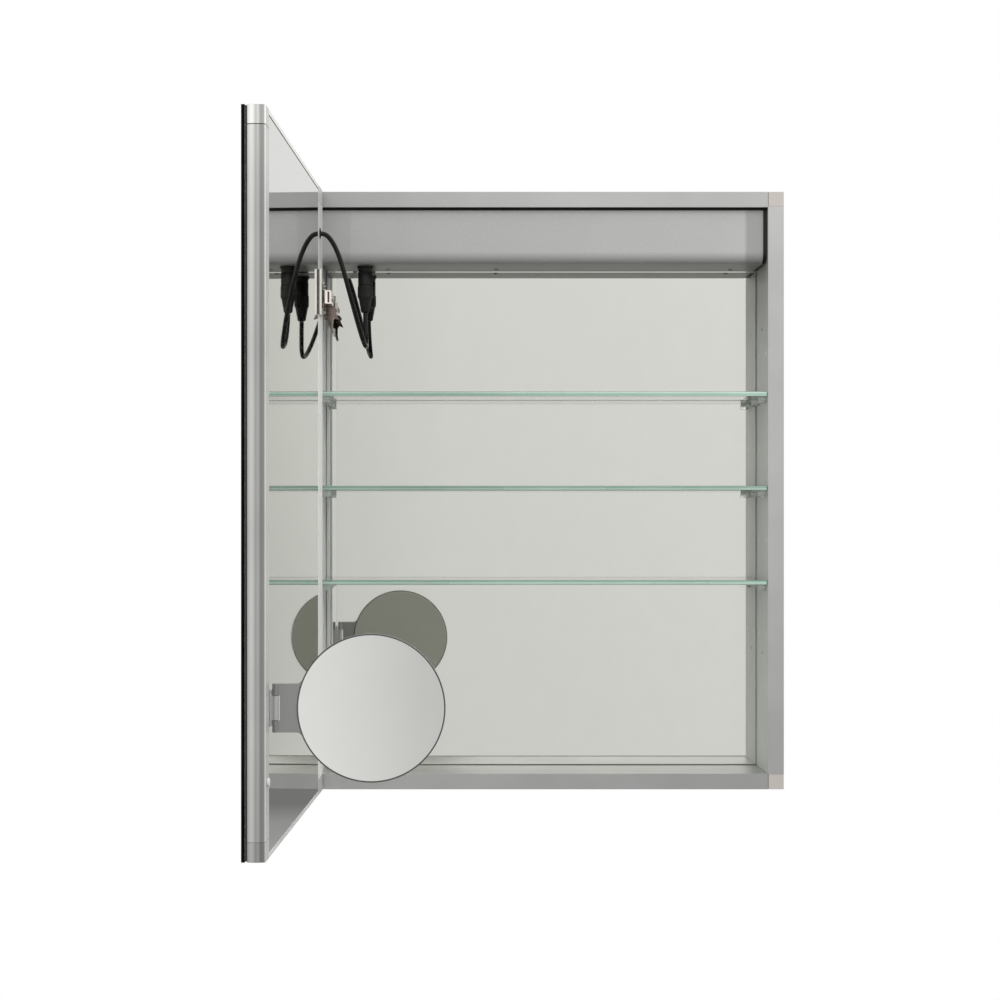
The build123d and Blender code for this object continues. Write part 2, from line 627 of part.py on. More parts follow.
def magnifier_pin():
    """Pin through the three knuckles."""
    return rod(FOLD_PIN_R, FOLD_X, FOLD_Y, MAGNIFIER_Z - ARM_PLATE_HALF,
               MAGNIFIER_Z + ARM_PLATE_HALF)


ARM_THICK, ARM_REACH, ARM_FLARE = 2.5, 14.0, 8.0
DISC_X = FOLD_X - DISC_REACH - DISC_R


def arm_flare(side, thick):
    """Concave corner where the arm's edge runs out into the disc."""
    reach, height = DISC_R + ARM_FLARE, ARM_PLATE_HALF + ARM_FLARE
    across = (reach ** 2 - height ** 2) ** 0.5
    on_disc = (across * DISC_R / reach, height * DISC_R / reach)
    inside = ARM_PLATE_HALF - 1.0
    outline = [(across, inside), (across, height), on_disc, (on_disc[0] - 6.0, inside)]
    face = make_face(Polyline(*[(DISC_X + dx, FOLD_Y - thick / 2, MAGNIFIER_Z + side * dz)
                                for dx, dz in outline], close=True))
    flare = extrude(face, thick, dir=(0, 1, 0))
    return flare - rod_y(ARM_FLARE, DISC_X + across, FOLD_Y - 10, FOLD_Y + 10,
                         MAGNIFIER_Z + side * height)


def arm_plate(thick, reach):
    """Flat of the magnifier's arm; reach is how far it enters the disc."""
    x1 = FOLD_X - DISC_REACH - reach
    plate = block(x1, FOLD_X, FOLD_Y - thick / 2, FOLD_Y + thick / 2,
                  MAGNIFIER_Z - ARM_PLATE_HALF, MAGNIFIER_Z + ARM_PLATE_HALF)
    return plate + arm_flare(1, thick) + arm_flare(-1, thick)


def magnifier_arm():
    """Plate with a central notch and two outer knuckles."""
    arm = arm_plate(ARM_THICK, ARM_REACH)
    for side in (-1, 1):
        z0, z1 = sorted((MAGNIFIER_Z + side * (TAB_HALF + 0.2),
                         MAGNIFIER_Z + side * ARM_PLATE_HALF))
        arm += rod(KNUCKLE_R, FOLD_X, FOLD_Y, z0, z1)
    arm -= block(FOLD_X - KNUCKLE_R - 1.5, FOLD_X + 10, FOLD_Y - 6, FOLD_Y + 6,
                 MAGNIFIER_Z - TAB_HALF - 0.2, MAGNIFIER_Z + TAB_HALF + 0.2)
    return arm - rod(FOLD_PIN_R + PIN_CLEAR, FOLD_X, FOLD_Y, MAGNIFIER_Z - 40, MAGNIFIER_Z + 40)


SHELL_R, LIP_R = DISC_R - 1.0, DISC_R - 1.4


def disc(radius, y0, y1):
    """A round plate of the magnifier, by its offsets from the fold axis."""
    return rod_y(radius, DISC_X, FOLD_Y + y0, FOLD_Y + y1, MAGNIFIER_Z)


def magnifier_shell():
    """Shallow back of the magnifier, slotted for the arm."""
    shell = disc(SHELL_R, -4.5, 2.0)
    shell = fillet(shell.edges().sort_by(Axis.Y)[0], 2.0)
    return shell - arm_plate(ARM_THICK + 0.1, ARM_REACH + 0.1)


def magnifier_rim():
    """Thin ring with a lip over the glass."""
    rim = disc(DISC_R, -4.0, 4.5) - disc(SHELL_R, -5.0, 3.8) - disc(LIP_R, 3.0, 5.0)
    return rim - arm_plate(ARM_THICK + 0.1, ARM_REACH + 0.1)


# ---------------------------------------------------------------- write the nodes

for name, side in (("left", -1), ("right", 1)):
    save(f"side_profile_{name}", side_profile(side))
    save(f"cover_end_cap_{name}", cover_end_cap(side))
save("top_profile", rail_profile(1))
save("bottom_profile", rail_profile(-1))
CORNERS = [(sx, sz) for sx in (-1, 1) for sz in (-1, 1)]
save("cabinet_corner_blocks", [corner_block(*c) for c in CORNERS])
save("back_panel", back_panel())
save("back_mirror", back_mirror())
for name, underside in SHELF_UNDERSIDES.items():
    save(f"shelf_{name}", shelf(underside))
    save(f"shelf_supports_{name}", shelf_supports(underside))

save("driver_cover", driver_cover())
save("cover_seal", cover_seal())
save("cover_screws", cover_screws())
save("driver_tray", driver_tray())
save("led_driver", led_driver())
save("terminal_block", terminal_block())
save("panel_socket", panel_socket())
save("socket_nut", socket_nut())
save("cable_plug", cable_plug())
save("door_lead", door_lead())

for name, z in HINGE_HEIGHTS.items():
    save(f"hinge_plate_{name}", hinge_plate(z))
    save(f"hinge_arm_{name}", hinge_arm(z))
    save(f"hinge_adjusters_{name}", hinge_adjusters(z))
    save(f"hinge_lever_{name}", hinge_lever(z))
    save(f"hinge_cup_{name}", on_door(hinge_cup(z)))
    save(f"hinge_pin_{name}", on_door(hinge_pin(z)))
save("hinge_plate_screws", hinge_plate_screws())
save("hinge_cup_screws", [on_door(s) for s in hinge_cup_screws()])

save("door_front_mirror", on_door(door_plate(0.0, DOOR_FRONT_Y, BACKING_FRONT_Y)))
save("door_backing", on_door(door_backing()))
save("door_hinge_stile", on_door(door_stile(-1)))
save("door_free_stile", on_door(door_stile(1)))
save("door_top_rail", on_door(door_rail(1)))
save("door_bottom_rail", on_door(door_rail(-1)))
save("door_corner_blocks", [on_door(door_corner_block(*c)) for c in CORNERS])
save("door_inner_mirror", on_door(door_inner_mirror()))
save("light_diffusers", [on_door(s) for s in lamp_pieces(-DOOR_BACKING + 0.1, 2.0, BAND_W - 0.6)])
save("lamp_channels", [on_door(lamp_channel(side)) for side in (-1, 1)])
STRIP_BACK = CHANNEL_DEPTH - CHANNEL_SKIN
save("led_strips", [on_door(s) for s in lamp_pieces(STRIP_BACK - 1.6, STRIP_BACK, 10.0)])
save("lead_grommet", on_door(lead_grommet()))
save("door_bumper", on_door(door_bumper()))

save("magnifier_bracket", on_door(magnifier_bracket()))
save("magnifier_pin", on_door(magnifier_pin()))
save("magnifier_arm", on_magnifier(magnifier_arm()))
save("magnifier_shell", on_magnifier(magnifier_shell()))
save("magnifier_rim", on_magnifier(magnifier_rim()))
save("magnifier_glass", on_magnifier(disc(SHELL_R - 0.2, 2.0, 3.75)))

fold_axis = on_door(Vertex(FOLD_X, FOLD_Y, MAGNIFIER_Z)).center()
print("fold axis at", round(fold_axis.X, 3), round(fold_axis.Y, 3))
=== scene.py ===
"""Medicine cabinet with one mirrored door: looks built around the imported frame."""

import json
import math

import bmesh
import bpy
from mathutils import Matrix, Vector


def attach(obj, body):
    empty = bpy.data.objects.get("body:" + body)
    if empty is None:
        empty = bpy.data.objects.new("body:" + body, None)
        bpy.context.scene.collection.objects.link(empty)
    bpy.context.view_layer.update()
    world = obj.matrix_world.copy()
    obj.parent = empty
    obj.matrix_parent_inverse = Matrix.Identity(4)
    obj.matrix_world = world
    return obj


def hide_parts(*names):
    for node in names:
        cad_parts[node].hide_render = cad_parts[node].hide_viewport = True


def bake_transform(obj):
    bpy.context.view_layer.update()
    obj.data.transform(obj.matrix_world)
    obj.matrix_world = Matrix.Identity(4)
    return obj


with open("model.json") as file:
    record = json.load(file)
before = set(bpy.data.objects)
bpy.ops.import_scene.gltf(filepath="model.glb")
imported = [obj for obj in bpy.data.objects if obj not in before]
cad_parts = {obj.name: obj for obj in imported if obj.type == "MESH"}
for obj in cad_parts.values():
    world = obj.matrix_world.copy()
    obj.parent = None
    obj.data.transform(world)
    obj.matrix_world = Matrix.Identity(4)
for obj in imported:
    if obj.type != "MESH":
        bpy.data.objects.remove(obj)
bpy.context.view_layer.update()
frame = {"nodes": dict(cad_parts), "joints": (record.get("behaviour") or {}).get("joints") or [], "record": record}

MM = 0.001
NODES = frame["nodes"]
BODY_OF = {node: body for body, nodes in frame["record"]["behaviour"]["bodies"].items()
           for node in nodes}

# ---------------------------------------------------------------- places

JOINTS = {joint["name"]: joint for joint in frame["joints"]}
PIVOT = Vector(JOINTS["door_swing"]["pos_m"])
FOLD = Vector(JOINTS["magnifier_fold"]["pos_m"])
DOOR_ANGLE = math.radians(JOINTS["door_swing"]["range_deg"][0])
FOLD_ANGLE = math.radians(JOINTS["magnifier_fold"]["range_deg"][0])


def turn_about(point, angle):
    """Turn about a vertical line through point."""
    there = Matrix.Translation(point)
    return there @ Matrix.Rotation(angle, 4, "Z") @ there.inverted()


# from coordinates with the door shut and the magnifier folded, to the stored pose
OPEN = turn_about(PIVOT, DOOR_ANGLE)
UNFOLD = turn_about(FOLD, FOLD_ANGLE) @ OPEN
FRAME_OF = {"carcass": Matrix.Identity(4), "door": OPEN, "magnifier": UNFOLD}

LOW, HIGH = {}, {}
for node, cad in NODES.items():
    back = FRAME_OF[BODY_OF[node]].inverted()
    corners = [back @ v.co for v in cad.data.vertices]
    LOW[node] = Vector([min(c[i] for c in corners) for i in range(3)])
    HIGH[node] = Vector([max(c[i] for c in corners) for i in range(3)])


# ---------------------------------------------------------------- mesh helpers

def add_object(name, mesh, node, material):
    """Link a mesh, built in its body's closed coordinates, with a node's body and slot."""
    piece = bpy.data.objects.new(name, mesh)
    bpy.context.scene.collection.objects.link(piece)
    body = BODY_OF[node]
    piece.matrix_world = FRAME_OF[body]
    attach(piece, body)
    mesh.materials.append(material)
    return piece


def smooth(mesh, angle=32.0):
    """Smooth shading that keeps edges over the angle sharp."""
    mesh.shade_smooth()
    mesh.set_sharp_from_angle(angle=math.radians(angle))


def bevel(piece, width, segments=3, angle=30.0):
    """Round the sharp edges of a piece."""
    modifier = piece.modifiers.new("edges", "BEVEL")
    modifier.width = width
    modifier.segments = segments
    modifier.limit_method = "ANGLE"
    modifier.angle_limit = math.radians(angle)
    modifier.harden_normals = True
    modifier.miter_outer = "MITER_ARC"
    return piece


def from_cad(node, material, width=0.4 * MM, segments=2, shape=None, edge=None):
    """A rounded piece on a node's own shape, its flat faces merged first.

    shape moves one closed-frame vertex; edge is (material, test of a face) for a second finish.
    """
    bm = bmesh.new()
    bm.from_mesh(NODES[node].data)
    bmesh.ops.remove_doubles(bm, verts=bm.verts, dist=2e-6)
    bmesh.ops.dissolve_limit(bm, angle_limit=math.radians(0.5), verts=bm.verts, edges=bm.edges,
                             use_dissolve_boundaries=False)
    bm.transform(FRAME_OF[BODY_OF[node]].inverted())
    bmesh.ops.recalc_face_normals(bm, faces=bm.faces)
    if shape:
        for vertex in bm.verts:
            shape(vertex.co)
    if edge:
        for face in bm.faces:
            face.material_index = 1 if edge[1](face) else 0
    mesh = bpy.data.meshes.new(f"{node}_skin")
    bm.to_mesh(mesh)
    bm.free()
    smooth(mesh)
    piece = add_object(f"{node}_skin", mesh, node, material)
    if edge:
        mesh.materials.append(edge[0])
    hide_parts(node)
    if width:
        bevel(piece, width, segments)
    return piece


def finish_piece(name, bm, node, material, angle=40.0, width=0.0, replaces=True):
    """Turn a bmesh into a piece that rides with a node's body."""
    bmesh.ops.recalc_face_normals(bm, faces=bm.faces)
    mesh = bpy.data.meshes.new(name)
    bm.to_mesh(mesh)
    bm.free()
    smooth(mesh, angle)
    piece = add_object(name, mesh, node, material)
    if replaces:
        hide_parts(node)
    if width:
        bevel(piece, width)
    return piece


def skin_rings(bm, rings):
    """Close a row of equal rings into a tube with a flat cap at each end."""
    for low, high in zip(rings, rings[1:]):
        for k in range(len(low)):
            m = (k + 1) % len(low)
            bm.faces.new((low[k], low[m], high[m], high[k]))
    bm.faces.new(list(reversed(rings[0])))
    bm.faces.new(rings[-1])


def lathe(bm, profile, place, steps=64, cap=True):
    """Turn (radius, height) points about the local Z of place."""
    rings = []
    for radius, height in profile:
        if radius < 1e-7:
            rings.append([bm.verts.new(place @ Vector((0, 0, height)))])
            continue
        ring = []
        for k in range(steps):
            a = 2 * math.pi * k / steps
            ring.append(bm.verts.new(place @ Vector((radius * math.cos(a), radius * math.sin(a),
                                                     height))))
        rings.append(ring)
    for low, high in zip(rings, rings[1:]):
        for k in range(steps):
            m = (k + 1) % steps
            if len(low) == 1:
                bm.faces.new((low[0], high[m], high[k]))
            elif len(high) == 1:
                bm.faces.new((low[k], low[m], high[0]))
            else:
                bm.faces.new((low[k], low[m], high[m], high[k]))
    if cap:
        for ring, flip in ((rings[0], True), (rings[-1], False)):
            if len(ring) > 1:
                bm.faces.new(list(reversed(ring)) if flip else ring)


def lathed(name, profile, place, node, material, steps=64, cap=True):
    """A turned piece in the place of a node's own shape."""
    bm = bmesh.new()
    lathe(bm, profile, place, steps, cap)
    return finish_piece(name, bm, node, material)


def along(point, axis):
    """A frame at point whose local Z is axis."""
    turn = Vector((0, 0, 1)).rotation_difference(Vector(axis)).to_matrix().to_4x4()
    return Matrix.Translation(point) @ turn


# ---------------------------------------------------------------- material helpers

class Nodes:
    """Short names for building one material's node tree."""

    def __init__(self, name):
        self.material = bpy.data.materials.new(name)
        self.material.use_nodes = True
        self.tree = self.material.node_tree
        self.shader = self.tree.nodes["Principled BSDF"]

    def new(self, kind, **settings):
        node = self.tree.nodes.new(kind)
        for key, value in settings.items():
            setattr(node, key, value)
        return node

    def link(self, a, b):
        self.tree.links.new(a, b)

    def set(self, **values):
        for key, value in values.items():
            self.shader.inputs[key.replace("_", " ")].default_value = value
        return self

    def coords(self, scale=(1, 1, 1)):
        """Object coordinates in metres, stretched by scale."""
        at = self.new("ShaderNodeTexCoord")
        mapping = self.new("ShaderNodeMapping")
        mapping.inputs["Scale"].default_value = scale
        self.link(at.outputs["Object"], mapping.inputs["Vector"])
        return mapping.outputs["Vector"]

    def noise(self, scale, size, detail=3.0, roughness=0.55):
        texture = self.new("ShaderNodeTexNoise")
        texture.inputs["Scale"].default_value = size
        texture.inputs["Detail"].default_value = detail
        texture.inputs["Roughness"].default_value = roughness
        self.link(self.coords(scale), texture.inputs["Vector"])
        return texture.outputs["Fac"]

    def ramp(self, value, stops):
        """Value to colour through (place, colour) stops."""
        ramp = self.new("ShaderNodeValToRGB")
        elements = ramp.color_ramp.elements
        while len(elements) < len(stops):
            elements.new(0.5)
        for element, (place, colour) in zip(elements, stops):
            element.position = place
            element.color = (*colour, 1.0)
        self.link(value, ramp.inputs["Fac"])
        return ramp.outputs["Color"]

    def spread(self, value, low, high, start=0.3, stop=0.7):
        """Value from start..stop to low..high."""
        node = self.new("ShaderNodeMapRange")
        node.inputs["From Min"].default_value = start
        node.inputs["From Max"].default_value = stop
        node.inputs["To Min"].default_value = low
        node.inputs["To Max"].default_value = high
        self.link(value, node.inputs["Value"])
        return node.outputs["Result"]

    def bump(self, value, strength, distance):
        node = self.new("ShaderNodeBump")
        node.inputs["Strength"].default_value = strength
        node.inputs["Distance"].default_value = distance
        self.link(value, node.inputs["Height"])
        return node.outputs["Normal"]

    def to(self, socket, value):
        self.link(value, self.shader.inputs[socket])
        return self

    def axes(self, coordinates):
        """X, Y and Z of "Generated" (0..1 over the piece) or "Object" (metres) coordinates."""
        at = self.new("ShaderNodeTexCoord")
        split = self.new("ShaderNodeSeparateXYZ")
        self.link(at.outputs[coordinates], split.inputs["Vector"])
        return split.outputs

    def multiply(self, colour, shade):
        mix = self.new("ShaderNodeMix", data_type="RGBA", blend_type="MULTIPLY")
        mix.inputs["Factor"].default_value = 1.0
        self.link(colour, mix.inputs["A"])
        self.link(shade, mix.inputs["B"])
        return mix.outputs["Result"]

    def fade(self, colour, axis, stops):
        """Paint light and shade onto a colour along the piece: stops are (place 0..1, share of the colour)."""
        place = self.axes("Generated")[axis.upper()]
        return self.multiply(colour, self.ramp(place, [(at, (k, k, k)) for at, k in stops]))


# stretch of the die lines, by the axis they run along
GRAIN = {"x": (1, 60, 60), "z": (60, 60, 1)}


def satin_aluminium(name, colour, along_axis="z", rough=(0.30, 0.42), metallic=1.0, fade=None,
                    lines_height=0.10):
    """Anodised extrusion: fine die lines along its length and a soft cloudiness."""
    m = Nodes(name).set(Metallic=metallic)
    lines = m.noise(GRAIN[along_axis], 38.0, 4.0, 0.65)
    cloud = m.noise((1, 1, 1), 9.0, 2.0)
    dark = tuple(c * 0.93 for c in colour)
    light = tuple(min(1.0, c * 1.05) for c in colour)
    base = m.ramp(cloud, [(0.3, dark), (0.7, light)])
    m.to("Base Color", m.fade(base, *fade) if fade else base)
    m.to("Roughness", m.spread(lines, *rough))
    m.to("Normal", m.bump(lines, lines_height, 0.00006))
    return m.material


def painted(name, colour, rough=(0.34, 0.44), peel=0.12, fade=None):
    """Powder-coated sheet with a faint orange peel."""
    m = Nodes(name)
    cloud = m.noise((1, 1, 1), 6.0, 2.0)
    fine = m.noise((1, 1, 1), 900.0, 2.0)
    dark = tuple(c * 0.96 for c in colour)
    base = m.ramp(cloud, [(0.3, dark), (0.7, colour)])
    m.to("Base Color", m.fade(base, *fade) if fade else base)
    m.to("Roughness", m.spread(fine, *rough))
    m.to("Normal", m.bump(fine, peel, 0.00003))
    return m.material


def plastic(name, colour, rough=(0.35, 0.5), grain=700.0, strength=0.25, specular=0.5):
    """Moulded plastic or rubber with a fine spark-eroded grain."""
    m = Nodes(name).set(Specular_IOR_Level=specular)
    fine = m.noise((1, 1, 1), grain, 3.0)
    wear = m.noise((1, 1, 1), 60.0, 4.0)
    light = tuple(min(1.0, c * 1.35 + 0.004) for c in colour)
    m.to("Base Color", m.ramp(wear, [(0.35, colour), (0.75, light)]))
    m.to("Roughness", m.spread(fine, *rough))
    m.to("Normal", m.bump(fine, strength, 0.00005))
    return m.material


def silvered(name, colour, rough=0.015, fade=None):
    """Silvered glass with the slightest waviness and a trace of dust."""
    m = Nodes(name).set(Metallic=1.0)
    dust = m.noise((1, 1, 1), 30.0, 5.0, 0.7)
    wave = m.noise((1, 1, 1), 2.5, 1.0)
    dull = tuple(c * 0.985 for c in colour)
    base = m.ramp(dust, [(0.35, dull), (0.65, colour)])
    m.to("Base Color", m.fade(base, *fade) if fade else base)
    m.to("Roughness", m.spread(dust, rough * 0.6, rough * 1.6))
    m.to("Normal", m.bump(wave, 0.02, 0.0002))
    return m.material


def plated(name, colour, rough=(0.10, 0.24)):
    """Nickel-plated pressing with faint tool marks."""
    m = Nodes(name).set(Metallic=1.0)
    marks = m.noise((20, 20, 160), 20.0, 4.0, 0.6)
    cloud = m.noise((1, 1, 1), 120.0, 3.0)
    dark = tuple(c * 0.86 for c in colour)
    m.to("Base Color", m.ramp(cloud, [(0.3, dark), (0.7, colour)]))
    m.to("Roughness", m.spread(marks, *rough))
    m.to("Normal", m.bump(marks, 0.12, 0.00005))
    return m.material


def shelf_glass():
    """Clear float glass with a slight green cast and faint smears."""
    m = Nodes("shelf_glass").set(Transmission_Weight=1.0, IOR=1.5)
    smear = m.noise((1, 1, 1), 14.0, 4.0, 0.6)
    m.to("Base Color", m.ramp(smear, [(0.3, (0.95, 0.985, 0.97)), (0.7, (0.975, 0.995, 0.985))]))
    m.to("Roughness", m.spread(smear, 0.0, 0.02, 0.45, 0.8))
    return m.material


def ground_edge(name, line, painted_brightness):
    """A shelf's ground edge: the glass's pale green, with painted light and shade in bands up its height and a
    painted dark line at a share of it, all times a painted brightness per shelf.
    """
    m = Nodes(name).set(Transmission_Weight=0.15, IOR=1.5)
    foot, pale, dark, top = [tuple(c * painted_brightness for c in colour) for colour in (
        (0.34, 0.46, 0.40), (0.48, 0.64, 0.56), (0.20, 0.34, 0.28), (0.56, 0.72, 0.64))]
    height = m.ramp(m.axes("Generated")["Z"], [(0.0, foot), (line - 0.2, pale), (line, dark),
                                               (line + 0.2, pale), (1.0, top)])
    waves = m.noise((1.0, 0.3, 0.3), 5.0, 3.0)
    shade = m.ramp(waves, [(0.35, (0.72, 0.76, 0.74)), (0.65, (1.0, 1.0, 1.0))])
    m.to("Base Color", m.multiply(height, shade))
    m.to("Roughness", m.spread(waves, 0.18, 0.35))
    return m.material


def clear_plastic():
    """Clear moulded plastic of the shelf supports, slightly cloudy."""
    m = Nodes("clear_plastic").set(Transmission_Weight=0.55, IOR=1.49)
    cloud = m.noise((1, 1, 1), 220.0, 3.0)
    m.to("Base Color", m.ramp(cloud, [(0.3, (0.90, 0.95, 0.93)), (0.7, (0.98, 1.0, 0.99))]))
    m.to("Roughness", m.spread(cloud, 0.08, 0.25))
    return m.material


door_shut = FRAME_OF["door"].inverted()
diffuser_x = [(door_shut @ v.co).x for v in NODES["light_diffusers"].data.vertices]
BAND_INNER = min(x for x in diffuser_x if x > 0)
BAND_OUTER = HIGH["light_diffusers"].x
BAND_TOP = HIGH["light_diffusers"].z


def door_front():
    """Front mirror with two frosted light bands, by place on the closed door."""
    m = Nodes("door_front_mirror").set(Metallic=1.0)
    place = m.axes("Object")
    half_width = (BAND_OUTER - BAND_INNER) / 2
    centre = BAND_INNER + half_width

    def math_node(kind, a, b):
        node = m.new("ShaderNodeMath", operation=kind)
        for socket, value in zip(node.inputs, (a, b)):
            if isinstance(value, (int, float)):
                socket.default_value = value
            else:
                m.link(value, socket)
        return node.outputs[0]

    across = math_node("ABSOLUTE", place["X"], 0)
    off = math_node("ABSOLUTE", math_node("SUBTRACT", across, centre), 0)
    in_band = math_node("LESS_THAN", off, half_width)
    in_height = math_node("LESS_THAN", math_node("ABSOLUTE", place["Z"], 0), BAND_TOP)
    band = math_node("MULTIPLY", in_band, in_height)
    dust = m.noise((1, 1, 1), 30.0, 5.0, 0.7)
    mirror = m.ramp(dust, [(0.35, (0.84, 0.86, 0.85)), (0.65, (0.87, 0.89, 0.88))])
    mix = m.new("ShaderNodeMix", data_type="RGBA")
    m.link(band, mix.inputs["Factor"])
    m.link(mirror, mix.inputs["A"])
    mix.inputs["B"].default_value = (0.86, 0.88, 0.88, 1.0)
    m.to("Base Color", mix.outputs["Result"])
    m.to("Metallic", math_node("SUBTRACT", 1.0, band))
    m.to("Roughness", math_node("MULTIPLY_ADD", band, 0.45))
    return m.material


MAT = {
    # side profiles: painted shade, darker towards the foot
    "side": satin_aluminium("side_aluminium", (0.72, 0.72, 0.73), "z",
                            fade=("z", [(0.0, 0.82), (0.45, 0.93), (0.75, 0.97), (1.0, 0.99)])),
    # top rail: painted shade, darker towards its left end
    "rail": satin_aluminium("rail_aluminium", (0.68, 0.68, 0.69), "x",
                            fade=("x", [(0.0, 0.69), (0.35, 0.85), (1.0, 0.96)])),
    # bottom rail: painted shade, darker towards its right end
    "rail_low": satin_aluminium("low_rail_aluminium", (0.66, 0.66, 0.67), "x",
                                fade=("x", [(0.0, 0.92), (1.0, 0.80)])),
    "corner": painted("corner_grey", (0.557, 0.515, 0.495), (0.30, 0.42)),
    "sheet": painted("back_sheet", (0.62, 0.63, 0.63)),
    "back_mirror": silvered("back_silver", (0.83, 0.835, 0.80)),
    "glass": shelf_glass(),
    # shelf edges: the glass's green with painted light and shade, brightness and dark line set per shelf
    "edge_upper": ground_edge("edge_upper", 0.42, 1.30),
    "edge_middle": ground_edge("edge_middle", 0.70, 1.05),
    "edge_lower": ground_edge("edge_lower", 0.75, 1.25),
    # shelves' back edges: near-white paint, a painted light
    "back_edge_painted_light": painted("back_edge_painted_light", (0.97, 0.99, 0.97), (0.4, 0.5)),
    "dark_edge": plastic("mirror_edge", (0.001, 0.002, 0.0017), (0.3, 0.4), 120.0, 0.05, 0.03),
    "bush": plastic("pin_bush", (0.93, 0.93, 0.91), (0.3, 0.45), 300.0, 0.1),
    "bead": silvered("bead_silver", (0.78, 0.78, 0.76)),
    "clear": clear_plastic(),
    # cover paint: painted light and shade, with a painted reflection from near its left end on, brighter to the
    # right, and a painted shadow across its right end
    "cover": painted("cover_paint", (0.49, 0.49, 0.49), (0.24, 0.34),
                     fade=("x", [(0.0, 0.83), (0.063, 0.84), (0.067, 0.92), (0.3, 0.93), (0.9, 0.98),
                                 (0.958, 1.0), (0.963, 0.72)])),
    # a darker copy of the cover paint for its underside: painted shade
    "cover_under": painted("shaded_cover_underside", (0.35, 0.35, 0.335), (0.3, 0.4)),
    "black": plastic("black_plastic", (0.004, 0.004, 0.004), (0.38, 0.52)),
    "rubber": plastic("black_rubber", (0.004, 0.004, 0.004), (0.5, 0.7), 400.0, 0.4),
    "sheath": plastic("lead_sheath", (0.005, 0.005, 0.005), (0.18, 0.28), 500.0, 0.15, 0.28),
    "zinc": plated("zinc", (0.60, 0.60, 0.57), (0.25, 0.4)),
    "nickel": plated("nickel", (0.74, 0.69, 0.65), (0.04, 0.12)),
    # hinge cups: a brighter, warmer copy of the nickel: painted highlight
    "cup": plated("cup_nickel_highlight", (0.98, 0.94, 0.90), (0.10, 0.2)),
    # hinge levers: a dark brown copy of the nickel: painted dark reflection
    "lever": plated("lever_nickel_dark_reflection", (0.26, 0.21, 0.19), (0.06, 0.16)),
    "shadow": painted("flange_shadow", (0.075, 0.055, 0.05), (0.4, 0.5)),
    "driver": plastic("driver_white", (0.78, 0.78, 0.75), (0.4, 0.55)),
    "terminal": plastic("terminal_white", (0.70, 0.71, 0.68), (0.35, 0.5)),
    "backing": plastic("backing_board", (0.028, 0.028, 0.028), (0.45, 0.6), 300.0, 0.3),
    "door_frame": satin_aluminium("door_aluminium", (0.52, 0.52, 0.52), "z", (0.11, 0.17)),
    # hinge stile: a near-white, non-metallic copy of the door aluminium for painted light, with painted shade
    # darker towards the top and a little at the foot
    "hinge_stile": satin_aluminium("hinge_stile", (0.99, 0.99, 0.98), "z", (0.34, 0.44), 0.0,
                                   fade=("z", [(0.0, 0.90), (0.3, 0.90), (0.45, 1.0), (0.75, 1.0),
                                               (0.9, 0.61), (1.0, 0.59)])),
    "inner_face": satin_aluminium("door_inner_face", (0.58, 0.58, 0.57), "z", (0.34, 0.44), 0.3),
    # bottom rail's upward face: a lighter copy of its aluminium for painted light, with painted shade darker
    # towards the right end
    "rail_inner": satin_aluminium("lit_rail_inner_face", (0.76, 0.76, 0.75), "x",
                                  fade=("x", [(0.0, 0.92), (1.0, 0.80)])),
    # inner walls: painted shade, darker near the top under the cover
    "wall": satin_aluminium("inner_wall", (0.78, 0.80, 0.78), "z", (0.40, 0.5), 0.1,
                            fade=("z", [(0.0, 1.0), (0.70, 0.97), (0.84, 0.58), (1.0, 0.51)])),
    "door_rail": satin_aluminium("door_rail_aluminium", (0.86, 0.86, 0.86), "x", (0.30, 0.36), 0.5,
                                 lines_height=0.03),
    # door corner blocks: painted shade, the foot blocks darker
    "door_block": satin_aluminium("door_block", (0.62, 0.62, 0.62), "z", (0.08, 0.14),
                                  fade=("z", [(0.0, 0.69), (0.3, 0.69), (0.7, 1.0)])),
    # door's inner mirror: a dimmer silver than the back mirror, with a painted darker band low down: painted shade
    # on its reflections
    "inner_mirror": silvered("shaded_inner_silver", (0.705, 0.715, 0.685),
                             fade=("z", [(0.0, 1.0), (0.09, 1.0), (0.14, 0.88), (0.28, 0.87),
                                         (0.39, 0.89), (0.45, 0.93), (0.6, 0.98), (1.0, 1.0)])),
    "front_mirror": door_front(),
    "opal": plastic("opal", (0.86, 0.87, 0.86), (0.3, 0.4), 200.0, 0.1),
    "board": plastic("led_board", (0.82, 0.82, 0.78), (0.3, 0.4)),
    "bumper": plastic("bumper_white", (0.66, 0.66, 0.65), (0.35, 0.5), 300.0, 0.1),
    "magnifier_metal": satin_aluminium("magnifier_metal", (0.375, 0.375, 0.375), "x", (0.30, 0.40)),
    # magnifier bracket: a lighter copy of the magnifier metal: painted light against the shade it sits in
    "magnifier_tab_lit": satin_aluminium("magnifier_tab_lit", (0.56, 0.56, 0.57), "x", (0.30, 0.40), 0.6),
    "magnifier_rim": plated("magnifier_rim", (0.16, 0.16, 0.16), (0.12, 0.24)),
    "magnifier_back": painted("magnifier_back", (0.50, 0.505, 0.45), (0.35, 0.5)),
    # magnifier glass: painted shade, its reflection darker towards the left
    "magnifier_mirror": silvered("shaded_magnifier_silver", (0.99, 0.99, 0.985),
                                 fade=("x", [(0.15, 0.885), (0.5, 0.955), (0.85, 1.0)])),
}


# ---------------------------------------------------------------- carcass

WALL_THICKNESS = 20.0 * MM
FACE_SLACK = 5.0 * MM
INNER_X = HIGH["side_profile_right"].x - WALL_THICKNESS
SEAM = 0.45 * MM


def faces_inside(face):
    """A side profile's wall face towards the shelves."""
    near_inner = abs(face.calc_center_median().x) < INNER_X + FACE_SLACK
    return abs(face.normal.x) > 0.9 and near_inner


